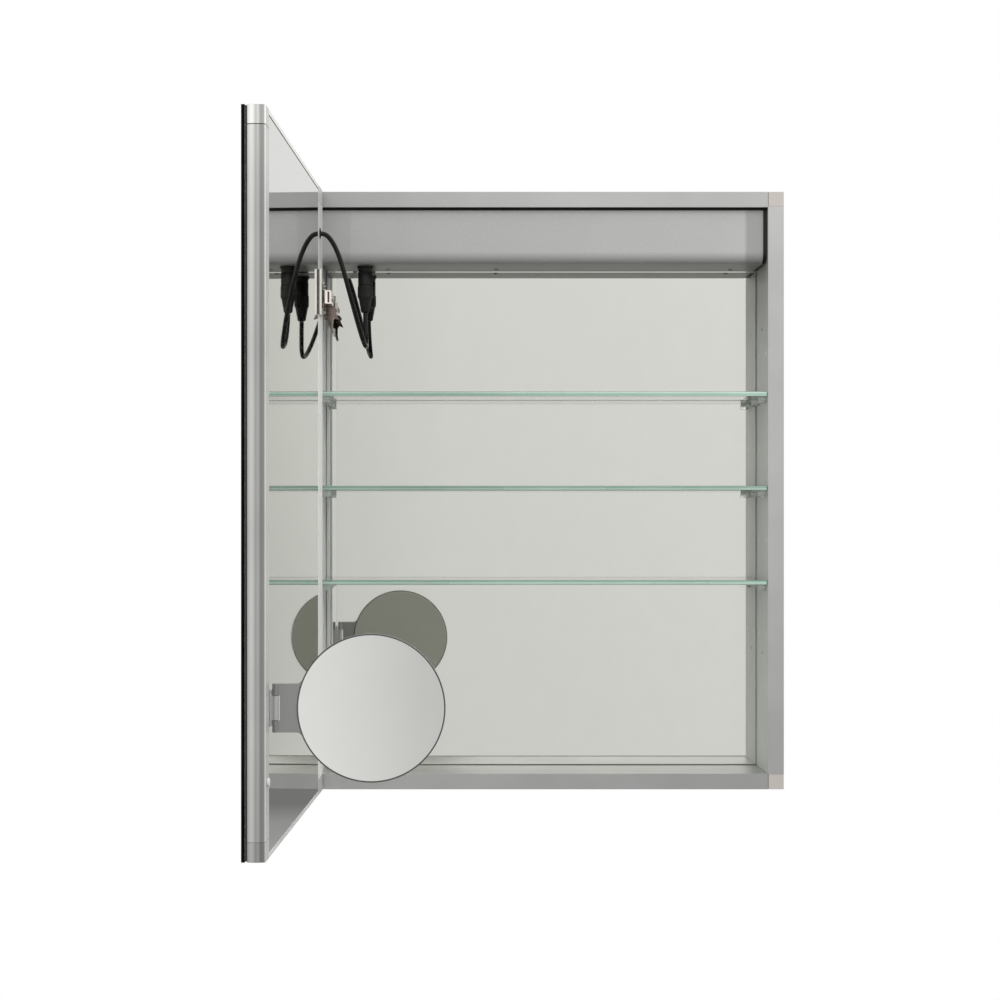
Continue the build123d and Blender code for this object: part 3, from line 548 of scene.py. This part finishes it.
for node in ("side_profile_left", "side_profile_right"):
    from_cad(node, MAT["side"], 0.5 * MM, edge=(MAT["wall"], faces_inside))
from_cad("top_profile", MAT["rail"], 0.5 * MM)
# its upward face takes the lighter copy: painted light
from_cad("bottom_profile", MAT["rail_low"], 0.5 * MM,
         edge=(MAT["rail_inner"], lambda face: face.normal.z > 0.9))


def open_seam(co):
    """Draw the corner blocks back from the rails by a hair."""
    if abs(abs(co.x) - INNER_X) < 1e-5:
        co.x += math.copysign(SEAM, co.x)


from_cad("cabinet_corner_blocks", MAT["corner"], 0.5 * MM, 3, shape=open_seam)
from_cad("back_panel", MAT["sheet"], 0.2 * MM)
from_cad("back_mirror", MAT["back_mirror"], 0.6 * MM, 2)


def front_or_end(face):
    """A shelf's ground face at its front or ends, not at its back."""
    return abs(face.normal.z) < 0.2 and face.normal.y < 0.5


for level in ("upper", "middle", "lower"):
    shelf = from_cad(f"shelf_{level}", MAT["glass"], 0, edge=(MAT[f"edge_{level}"], front_or_end))
    # the back edge painted near-white: painted light
    shelf.data.materials.append(MAT["back_edge_painted_light"])
    for polygon in shelf.data.polygons:
        if polygon.normal.y > 0.5:
            polygon.material_index = 2
    from_cad(f"shelf_supports_{level}", MAT["clear"], 0.4 * MM, 2)
# its underside takes the darker copy of the paint: painted shade
from_cad("driver_cover", MAT["cover"], 0.3 * MM,
         edge=(MAT["cover_under"], lambda face: face.normal.z < -0.98))
for node in ("cover_end_cap_left", "cover_end_cap_right"):
    from_cad(node, MAT["black"], 0.3 * MM)
from_cad("cover_seal", MAT["rubber"], 0.8 * MM)
from_cad("driver_tray", MAT["zinc"], 0.2 * MM)
from_cad("led_driver", MAT["driver"], 0.5 * MM)
from_cad("terminal_block", MAT["terminal"], 0.3 * MM)
from_cad("socket_nut", MAT["black"], 0.3 * MM)
for level in ("upper", "lower"):
    for part in ("plate", "arm", "adjusters"):
        from_cad(f"hinge_{part}_{level}", MAT["nickel"], 0.35 * MM)
    from_cad(f"hinge_lever_{level}", MAT["lever"], 0.35 * MM)

# ---------------------------------------------------------------- connector

PLUG_X, PLUG_Y = -230.5 * MM, -66.0 * MM
SOCKET_HIGH = HIGH["panel_socket"].z
PLUG_LOW, PLUG_HIGH = LOW["cable_plug"].z, HIGH["cable_plug"].z
COVER_UNDER = LOW["driver_cover"].z


def ribbed(bm, rows, place, ribs, depth, steps=120):
    """Rings of (radius, height, ribbing 0..1) round place, with ribs along their length."""
    rings = []
    for radius, height, amount in rows:
        ring = []
        for k in range(steps):
            a = 2 * math.pi * k / steps
            wave = 0.5 - 0.5 * math.tanh(4.0 * math.cos(ribs * a))
            r = radius - depth * amount * wave
            ring.append(bm.verts.new(place @ Vector((r * math.cos(a), r * math.sin(a), height))))
        rings.append(ring)
    skin_rings(bm, rings)


def add_block(bm, place, size):
    """Add a block of this size in the middle of a place's frame."""
    bmesh.ops.create_cube(bm, size=1.0, matrix=place @ Matrix.Diagonal((*size, 1.0)))


def box_piece(name, low, high, node, material, lean=0.0):
    """A small block that rides with a node; lean draws back the foot of its front face."""
    bm = bmesh.new()
    bmesh.ops.create_cube(bm, size=1.0)
    for vertex in bm.verts:
        at_foot = vertex.co.y < 0 and vertex.co.z < 0
        vertex.co = Vector([low[i] if vertex.co[i] < 0 else high[i] for i in range(3)])
        vertex.co.y += lean if at_foot else 0.0
    return finish_piece(name, bm, node, material, replaces=False)


# a dark strip on each arm's cranked end, half sunk in its face: a painted shadow that stands for a slot
STRIP_FOOT = Vector((-276.9, -112.89, 0.0)) * MM
STRIP_HEAD = Vector((-274.7, -111.37, 0.0)) * MM
STRIP_THICKNESS = 0.5 * MM
STRIP_HEIGHT = 14.0 * MM
ARM_Z = 247.0 * MM
strip_run = STRIP_HEAD - STRIP_FOOT
strip_turn = Matrix.Rotation(math.atan2(strip_run.y, strip_run.x), 4, "Z")
strip_size = (strip_run.length, STRIP_THICKNESS, STRIP_HEIGHT)
for level, height in (("upper", ARM_Z), ("lower", -ARM_Z)):
    bm = bmesh.new()
    middle = (STRIP_FOOT + STRIP_HEAD) / 2 + Vector((0.0, 0.0, height))
    add_block(bm, Matrix.Translation(middle) @ strip_turn, strip_size)
    finish_piece(f"hinge_slot_shadow_{level}", bm, f"hinge_arm_{level}", MAT["shadow"], width=0.15 * MM,
                 replaces=False)

# the silvered bead where the back mirror meets the cover, its front leaning back at the foot
BEAD_INSET = 2.0 * MM
BEAD_DEPTH = 0.9 * MM
BEAD_HEIGHT = 1.15 * MM
BEAD_LEAN = 0.15 * MM
glass_face = LOW["back_mirror"].y
bead_end = INNER_X - BEAD_INSET
box_piece("mirror_top_bead", (-bead_end, glass_face - BEAD_DEPTH, COVER_UNDER - BEAD_HEIGHT),
          (bead_end, glass_face, COVER_UNDER), "back_mirror", MAT["bead"], BEAD_LEAN)

at_plug = Matrix.Translation((PLUG_X, PLUG_Y, 0))
socket_profile = [
    (0.0, PLUG_HIGH + 0.1 * MM), (8.6 * MM, PLUG_HIGH + 0.1 * MM),
    (9.3 * MM, PLUG_HIGH + 0.8 * MM),
    (9.3 * MM, COVER_UNDER - 8.0 * MM), (8.8 * MM, COVER_UNDER - 7.4 * MM),
    (8.8 * MM, COVER_UNDER - 6.6 * MM), (9.3 * MM, COVER_UNDER - 6.0 * MM),
    (9.3 * MM, COVER_UNDER - 3.2 * MM), (10.2 * MM, COVER_UNDER - 3.0 * MM),
    (10.5 * MM, COVER_UNDER - 2.6 * MM), (10.5 * MM, COVER_UNDER - 0.4 * MM),
    (10.2 * MM, COVER_UNDER), (7.0 * MM, COVER_UNDER),
    (7.0 * MM, SOCKET_HIGH - 0.4 * MM), (6.6 * MM, SOCKET_HIGH), (0.0, SOCKET_HIGH)]
lathed("panel_socket_body", socket_profile, at_plug, "panel_socket", MAT["black"])

# the plug: a tapered neck with three strain-relief rings, and a grip with ribs along it
GRIP_RIBS = 20
RIB_DEPTH = 0.7 * MM
NECK_RINGS_Z = (233.0, 235.0, 237.0)
NECK_TAPER = 0.15
plug_rows = [
    (4.6 * MM, PLUG_LOW, 0), (5.4 * MM, PLUG_LOW + 0.8 * MM, 0), (6.6 * MM, 239.0 * MM, 0),
    (7.0 * MM, 240.0 * MM, 0), (8.0 * MM, 246.0 * MM, 0), (8.6 * MM, 249.0 * MM, 0),
    (9.6 * MM, 250.5 * MM, 0), (9.9 * MM, 252.0 * MM, 1), (9.9 * MM, 262.5 * MM, 1),
    (9.9 * MM, 264.0 * MM, 0), (9.4 * MM, PLUG_HIGH, 0)]
bm = bmesh.new()
ribbed(bm, plug_rows, at_plug, GRIP_RIBS, RIB_DEPTH)
for z in NECK_RINGS_Z:
    neck = (5.5 + (z - 231.0) * NECK_TAPER) * MM
    sunk, proud = neck - 0.3 * MM, neck + 0.15 * MM
    lathe(bm, [(sunk, (z - 0.5) * MM), (proud, (z - 0.2) * MM), (proud, (z + 0.2) * MM),
               (sunk, (z + 0.5) * MM)], at_plug, 48)
finish_piece("cable_plug_body", bm, "cable_plug", MAT["black"], 50.0)

# ---------------------------------------------------------------- screws

THREAD_PITCH = 0.7 * MM
SCREW_STEPS = 36


def cross_screw(name, spots, head_r, head_h, shank_r, shank, node, material):
    """Pan-head screws with a cross recess; spots are (point on the seat, outward axis)."""
    bm = bmesh.new()
    slot, reach = head_r * 0.13, head_r * 0.55
    rim_r, rim_h = head_r * 0.72, head_h * 0.92
    for point, axis in spots:
        place = along(point, axis)
        rows = [(shank_r * 0.4, -shank), (shank_r, -shank + shank_r)]
        turns = max(2, int(shank / THREAD_PITCH))
        for k in range(turns):
            z = -shank + shank_r + (shank - shank_r) * (k + 0.5) / turns
            rows += [(shank_r * 0.80, z), (shank_r, z + 0.18 * MM)]
        rows += [(shank_r * 0.8, -0.02 * MM), (head_r * 0.96, 0.0), (head_r, head_h * 0.25),
                 (head_r * 0.93, head_h * 0.6), (rim_r, rim_h)]
        lathe(bm, [(0.0, -shank)] + rows, place, SCREW_STEPS, cap=False)
        home = place.inverted()
        rim = [v for v in bm.verts if abs((home @ v.co).z - rim_h) < 1e-7
               and abs((home @ v.co).to_2d().length - rim_r) < 1e-6]
        rim.sort(key=lambda v: math.atan2((home @ v.co).y, (home @ v.co).x))
        cross = [(reach, -slot), (reach, slot), (slot, slot), (slot, reach), (-slot, reach),
                 (-slot, slot), (-reach, slot), (-reach, -slot), (-slot, -slot), (-slot, -reach),
                 (slot, -reach), (slot, -slot)]
        top = [bm.verts.new(place @ Vector((x, y, head_h))) for x, y in cross]
        low = [bm.verts.new(place @ Vector((x * 0.7, y * 0.7, head_h * 0.35))) for x, y in cross]
        for k in range(len(cross)):
            m = (k + 1) % len(cross)
            bm.faces.new((top[k], top[m], low[m], low[k]))
        bm.faces.new(low)
        edges = []
        for loop in (rim, top):
            edges += [bm.edges.get((a, b)) for a, b in zip(loop, loop[1:] + loop[:1])]
        bmesh.ops.triangle_fill(bm, edges=[e for e in edges if e], use_beauty=True)
    return finish_piece(name, bm, node, material, 35.0)


def spots_of(node, axis_index, sign):
    """Tip along a signed axis, and size, of every separate solid of a node, the door shut."""
    bm = bmesh.new()
    bm.from_mesh(NODES[node].data)
    bmesh.ops.remove_doubles(bm, verts=bm.verts, dist=2e-6)
    bm.transform(FRAME_OF[BODY_OF[node]].inverted())
    left, found = set(bm.verts), []
    while left:
        front, island = [next(iter(left))], set()
        while front:
            vertex = front.pop()
            if vertex in island:
                continue
            island.add(vertex)
            front += [e.other_vert(vertex) for e in vertex.link_edges]
        left -= island
        low = Vector([min(v.co[i] for v in island) for i in range(3)])
        high = Vector([max(v.co[i] for v in island) for i in range(3)])
        found.append((low, high))
    bm.free()
    found.sort(key=lambda box: tuple(round(c, 5) for c in box[0]))
    spots = []
    for low, high in found:
        centre = (low + high) / 2
        centre[axis_index] = high[axis_index] if sign > 0 else low[axis_index]
        spots.append((centre, high - low))
    return spots


def fit_screws(node, axis_index, sign, head_r, head_h, shank_r, material):
    """Replace a node's plain screws by cross-recess ones on the same spots."""
    axis = Vector((0, 0, 0))
    axis[axis_index] = sign
    found = spots_of(node, axis_index, sign)
    seats = [(tip - axis * head_h, axis) for tip, size in found]
    length = found[-1][1][axis_index]
    cross_screw(f"{node}_crossed", seats, head_r, head_h, shank_r, length - head_h, node, material)


fit_screws("cover_screws", 2, -1, 3.0 * MM, 1.6 * MM, 1.2 * MM, MAT["zinc"])
fit_screws("hinge_plate_screws", 0, 1, 3.6 * MM, 1.8 * MM, 1.9 * MM, MAT["zinc"])

# light bushes in the shelf pin holes that hold no pin: every second hole, by the shelves' spacing
FRONT_Y = LOW["side_profile_right"].y
HOLE_SPACING = 60.25 * MM
MIDDLE_PIN_Z = -4.0 * MM
FREE_HOLES = (-3, -1, 1, 3)
PIN_INSETS = (21.0 * MM, 86.0 * MM)
BUSH_PROFILE = [(1.5 * MM, 1.0 * MM), (1.5 * MM, -0.25 * MM), (2.4 * MM, -0.35 * MM),
                (3.3 * MM, -0.15 * MM), (3.4 * MM, 0.0), (2.5 * MM, 0.05 * MM),
                (2.5 * MM, 1.2 * MM)]
bm = bmesh.new()
for side in (-1, 1):
    for inset in PIN_INSETS:
        for step in FREE_HOLES:
            place = (side * INNER_X, FRONT_Y + inset, MIDDLE_PIN_Z + step * HOLE_SPACING)
            lathe(bm, BUSH_PROFILE, along(place, (side, 0, 0)), 28, cap=False)
finish_piece("pin_bushes", bm, "side_profile_right", MAT["bush"], 40.0, replaces=False)

# ---------------------------------------------------------------- the lead

LEAD_DIAMETER = 6.0 * MM
# from the grommet on the door to the plug's neck, in millimetres
ROUTE = [
    (-285.6, -159.4, 322.0),
    (-279.6, -159.6, 322.0),
    (-273.4, -159.3, 318.4),
    (-266.3, -158.0, 308.5),
    (-259.2, -157.0, 292.0),
    (-253.3, -156.0, 271.9),
    (-247.6, -152.0, 250.5),
    (-241.8, -144.0, 228.4),
    (-236.3, -132.0, 207.7),
    (-231.6, -117.0, 191.5),
    (-228.1, -98.0, 183.0),
    (-228.6, -79.0, 190.0),
    (-230.0, -68.0, 210.0),
    (-230.5, -66.0, 230.6),
]


def route_line(points, resolution=24):
    """Points along the smooth NURBS line of a route."""
    curve = bpy.data.curves.new("route", "CURVE")
    curve.dimensions = "3D"
    spline = curve.splines.new("NURBS")
    spline.points.add(len(points) - 1)
    for place, point in zip(points, spline.points):
        point.co = (*(c * MM for c in place), 1.0)
    spline.order_u = 3
    spline.use_endpoint_u = True
    spline.resolution_u = resolution
    holder = bpy.data.objects.new("route", curve)
    mesh = bpy.data.meshes.new_from_object(holder)
    line = [v.co.copy() for v in mesh.vertices]
    bpy.data.objects.remove(holder)
    bpy.data.curves.remove(curve)
    bpy.data.meshes.remove(mesh)
    return line


def tube(name, line, radius, material, node, steps=24):
    """A closed mesh tube along a line of points."""
    bm = bmesh.new()
    rings = []
    side = Vector((0, 1, 0))
    for i, point in enumerate(line):
        ahead = line[min(i + 1, len(line) - 1)] - line[max(i - 1, 0)]
        ahead.normalize()
        side = (side - ahead * side.dot(ahead)).normalized()
        up = ahead.cross(side)
        rings.append([bm.verts.new(point + radius * (math.cos(a) * side + math.sin(a) * up))
                      for a in (2 * math.pi * k / steps for k in range(steps))])
    skin_rings(bm, rings)
    bmesh.ops.recalc_face_normals(bm, faces=bm.faces)
    mesh = bpy.data.meshes.new(name)
    bm.to_mesh(mesh)
    bm.free()
    smooth(mesh, 60.0)
    mesh.materials.append(material)
    piece = bpy.data.objects.new(name, mesh)
    bpy.context.scene.collection.objects.link(piece)
    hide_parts(node)
    return piece


lead_line = route_line(ROUTE)
lead_length = sum((b - a).length for a, b in zip(lead_line, lead_line[1:]))
lead = tube("door_lead_sheath", lead_line, LEAD_DIAMETER / 2, MAT["sheath"], "door_lead")
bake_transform(lead)
print("lead length", round(lead_length, 4))

# ---------------------------------------------------------------- door

DOOR_BLOCK_Z = HIGH["door_free_stile"].z
DOOR_FACE_Y = HIGH["door_free_stile"].y
LOW_SEAM_SHARE = 0.25


def open_door_seam(co):
    """Draw the door's corner blocks back from the uprights by a hair, less at the foot."""
    if abs(abs(co.z) - DOOR_BLOCK_Z) < 1e-5:
        co.z += SEAM if co.z > 0 else -SEAM * LOW_SEAM_SHARE


def faces_shelves(face):
    """A face on the shut door's inner side."""
    return face.normal.y > 0.9


def pane_edge(face):
    """A door pane's face at its rim."""
    return abs(face.normal.y) < 0.5


from_cad("door_front_mirror", MAT["front_mirror"], 0.4 * MM,
         edge=(MAT["dark_edge"], pane_edge))
from_cad("door_backing", MAT["backing"], 0.2 * MM)
from_cad("door_hinge_stile", MAT["hinge_stile"], 0.6 * MM, 3)
from_cad("door_free_stile", MAT["door_frame"], 0.4 * MM, 3,
         edge=(MAT["inner_face"], faces_shelves))
for node in ("door_top_rail", "door_bottom_rail"):
    from_cad(node, MAT["door_rail"], 0.5 * MM, 3)
from_cad("door_corner_blocks", MAT["door_block"], 0.4 * MM, 3, shape=open_door_seam,
         edge=(MAT["inner_face"], faces_shelves))
from_cad("door_inner_mirror", MAT["inner_mirror"], 0.5 * MM,
         edge=(MAT["dark_edge"], pane_edge))
from_cad("light_diffusers", MAT["opal"], 0.3 * MM)
from_cad("lamp_channels", MAT["zinc"], 0.15 * MM)
from_cad("door_bumper", MAT["bumper"], 0.9 * MM, 4)
for level in ("upper", "lower"):
    from_cad(f"hinge_cup_{level}", MAT["cup"], 0.3 * MM)
    from_cad(f"hinge_pin_{level}", MAT["nickel"], 0.3 * MM)
    # a dark strip along the flange's end: painted shade on its edge
    cup_low, cup_high = LOW[f"hinge_cup_{level}"], HIGH[f"hinge_cup_{level}"]
    box_piece(f"hinge_flange_shade_{level}",
              (cup_high.x - 0.5 * MM, DOOR_FACE_Y + 0.02 * MM, cup_low.z + 0.3 * MM),
              (cup_high.x + 0.15 * MM, DOOR_FACE_Y + 1.5 * MM, cup_high.z - 0.3 * MM),
              f"hinge_cup_{level}", MAT["shadow"])
fit_screws("hinge_cup_screws", 1, 1, 3.4 * MM, 1.2 * MM, 1.7 * MM, MAT["zinc"])

# the dark joint over the inner mirror
mirror_low, mirror_high = LOW["door_inner_mirror"], HIGH["door_inner_mirror"]
box_piece("inner_mirror_gasket",
          (mirror_low.x, DOOR_FACE_Y - 1.5 * MM, mirror_high.z - 0.9 * MM),
          (mirror_high.x, DOOR_FACE_Y - 0.05 * MM, mirror_high.z + 0.25 * MM),
          "lead_grommet", MAT["rubber"])

# the led strips, with their chips
from_cad("led_strips", MAT["board"], 0.1 * MM)
strip_low, strip_high = LOW["led_strips"], HIGH["led_strips"]
STRIP_X = 262.0 * MM
CHIPS = 60
CHIP = Vector((2.8, 0.6, 3.5)) * MM
bm = bmesh.new()
for side in (-1, 1):
    for k in range(CHIPS):
        z = strip_low.z + (strip_high.z - strip_low.z) * (k + 0.5) / CHIPS
        place = (side * STRIP_X, strip_low.y - CHIP.y / 2, z)
        add_block(bm, Matrix.Translation(place), CHIP)
finish_piece("led_chips", bm, "led_strips", MAT["opal"], replaces=False)

# grommet, its lip rounded and its mouth open round the lead
GROMMET_X, GROMMET_Z = -266.0 * MM, 322.0 * MM
lip = HIGH["lead_grommet"].y - DOOR_FACE_Y
at_grommet = along((GROMMET_X, DOOR_FACE_Y, GROMMET_Z), (0, 1, 0))
grommet_profile = [
    (3.1 * MM, -2.0 * MM), (3.1 * MM, lip - 0.3 * MM), (3.5 * MM, lip), (5.0 * MM, lip),
    (6.4 * MM, lip * 0.75), (7.0 * MM, lip * 0.3), (7.0 * MM, 0.02 * MM), (5.0 * MM, 0.0),
    (5.0 * MM, -2.0 * MM)]
lathed("lead_grommet_body", grommet_profile, at_grommet, "lead_grommet", MAT["rubber"], 48,
       cap=False)

# ---------------------------------------------------------------- magnifier

from_cad("magnifier_bracket", MAT["magnifier_tab_lit"], 0.3 * MM)
from_cad("magnifier_pin", MAT["nickel"], 0.2 * MM)
from_cad("magnifier_arm", MAT["magnifier_metal"], 0.4 * MM, 3)
from_cad("magnifier_shell", MAT["magnifier_back"], 0.3 * MM)
from_cad("magnifier_rim", MAT["magnifier_rim"], 0.25 * MM)

# its glass, ground hollow at the front
DISH = 1.35 * MM
BACK_CHAMFER = 0.2 * MM
FRONT_CHAMFER = 0.3 * MM
DISH_RINGS = 24
disc_low, disc_high = LOW["magnifier_glass"], HIGH["magnifier_glass"]
disc_centre = (disc_low + disc_high) / 2
disc_r = (disc_high.x - disc_low.x) / 2
disc_front = disc_high.y - disc_centre.y
disc_back = disc_low.y - disc_centre.y
profile = [(0.0, disc_back), (disc_r - BACK_CHAMFER, disc_back),
           (disc_r, disc_back + BACK_CHAMFER), (disc_r, disc_front - FRONT_CHAMFER),
           (disc_r - FRONT_CHAMFER, disc_front)]
for k in range(DISH_RINGS):
    r = (disc_r - FRONT_CHAMFER) * (1 - (k + 1) / DISH_RINGS)
    profile.append((r, disc_front - DISH * (1 - (r / disc_r) ** 2)))
lathed("magnifier_mirror", profile, along(disc_centre, (0, 1, 0)), "magnifier_glass",
       MAT["magnifier_mirror"], 128)

# ---------------------------------------------------------------- stage, light, camera

# brightness by the way round (0 is towards the camera, + to the right), by height, and behind
AROUND = ((-3.14, 0.8), (-1.6, 0.45), (-1.0, 0.50), (-0.62, 1.05), (-0.35, 0.98), (-0.14, 0.60),
          (-0.07, 0.62), (-0.04, 0.67), (0.0, 0.73), (0.13, 0.78), (0.22, 0.54), (0.32, 0.42),
          (0.85, 0.45), (1.05, 0.62), (1.25, 1.2), (1.8, 1.15), (3.14, 0.8))
RISE = ((-1.0, 0.15), (-0.5, 0.52), (-0.19, 0.70), (-0.14, 0.95), (0.0, 1.0), (0.11, 1.05),
        (0.17, 1.55), (0.5, 1.45), (1.0, 1.3))
BEHIND = ((-1.0, 0.35), (-0.30, 0.46), (-0.155, 0.42), (-0.131, 0.31), (-0.128, 0.19),
          (-0.112, 0.20), (-0.09, 0.64), (0.10, 0.82), (0.5, 0.85), (1.0, 0.9))
STUDIO_TINT = (1.0, 1.0, 0.985)


def studio_world():
    """White to the camera; to everything else a studio that varies round and up."""
    world = bpy.data.worlds.new("studio")
    bpy.context.scene.world = world
    world.use_nodes = True
    tree = world.node_tree
    links = tree.links

    def node(kind, **settings):
        made = tree.nodes.new(kind)
        for key, value in settings.items():
            setattr(made, key, value)
        return made

    def value_ramp(value, low, high, stops):
        span = node("ShaderNodeMapRange")
        span.inputs["From Min"].default_value = low
        span.inputs["From Max"].default_value = high
        links.new(value, span.inputs["Value"])
        ramp = node("ShaderNodeValToRGB")
        elements = ramp.color_ramp.elements
        while len(elements) < len(stops):
            elements.new(0.5)
        for element, (place, level) in zip(elements, stops):
            element.position = (place - low) / (high - low)
            element.color = (*(c * level for c in STUDIO_TINT), 1.0)
        links.new(span.outputs["Result"], ramp.inputs["Fac"])
        return ramp.outputs["Color"]

    def blend(kind, a, b, factor):
        mix = node("ShaderNodeMix", data_type="RGBA", blend_type=kind)
        if isinstance(factor, float):
            mix.inputs["Factor"].default_value = factor
        else:
            links.new(factor, mix.inputs["Factor"])
        links.new(a, mix.inputs["A"])
        links.new(b, mix.inputs["B"])
        return mix.outputs["Result"]

    at = node("ShaderNodeTexCoord")
    split = node("ShaderNodeSeparateXYZ")
    links.new(at.outputs["Generated"], split.inputs["Vector"])
    ahead = node("ShaderNodeMath", operation="MULTIPLY")
    links.new(split.outputs["Y"], ahead.inputs[0])
    ahead.inputs[1].default_value = -1.0
    around = node("ShaderNodeMath", operation="ARCTAN2")
    links.new(split.outputs["X"], around.inputs[0])
    links.new(ahead.outputs[0], around.inputs[1])
    turn = value_ramp(around.outputs[0], -math.pi, math.pi, AROUND)
    rise = value_ramp(split.outputs["Z"], -1.0, 1.0, RISE)
    front = blend("MULTIPLY", turn, rise, 1.0)
    behind = value_ramp(split.outputs["Z"], -1.0, 1.0, BEHIND)
    side = node("ShaderNodeMapRange")
    side.inputs["From Min"].default_value = 0.3
    side.inputs["From Max"].default_value = 0.7
    links.new(split.outputs["Y"], side.inputs["Value"])
    studio = blend("MIX", front, behind, side.outputs["Result"])
    path = node("ShaderNodeLightPath")
    white = node("ShaderNodeRGB")
    white.outputs[0].default_value = (1.0, 1.0, 1.0, 1.0)
    seen = blend("MIX", studio, white.outputs[0], path.outputs["Is Camera Ray"])
    links.new(seen, tree.nodes["Background"].inputs["Color"])


def area_light(name, place, target, size, power):
    """A soft box at place, facing target."""
    data = bpy.data.lights.new(name, "AREA")
    data.shape = "RECTANGLE"
    data.size, data.size_y = size
    data.energy = power
    light = bpy.data.objects.new(name, data)
    light.location = place
    light.rotation_euler = (Vector(target) - Vector(place)).to_track_quat("-Z", "Y").to_euler()
    bpy.context.scene.collection.objects.link(light)
    return light


studio_world()
key = area_light("key", place=(1.3, -2.6, 1.5), target=(0, -0.1, 0.1), size=(2.0, 1.4), power=42.0)
key.visible_glossy = False

# the camera looks straight at the wall, from the left of the cabinet's middle and a little below
SENSOR_WIDTH = 36.0
FOCAL_LENGTH = 81.72
CAMERA_TO_FRONT = 2894.5 * MM
CAMERA_X, CAMERA_Z = -120.7 * MM, -33.8 * MM
camera_data = bpy.data.cameras.new("camera")
camera_data.sensor_width = SENSOR_WIDTH
camera_data.lens = FOCAL_LENGTH
camera_data.shift_x = 0.050
camera_data.shift_y = 0.017
camera_data.clip_end = 100.0
camera = bpy.data.objects.new("camera", camera_data)
camera.location = (CAMERA_X, FRONT_Y - CAMERA_TO_FRONT, CAMERA_Z)
camera.rotation_euler = (math.pi / 2, 0, 0)
bpy.context.scene.collection.objects.link(camera)
bpy.context.scene.camera = camera
bpy.context.scene.view_settings.view_transform = "Standard"
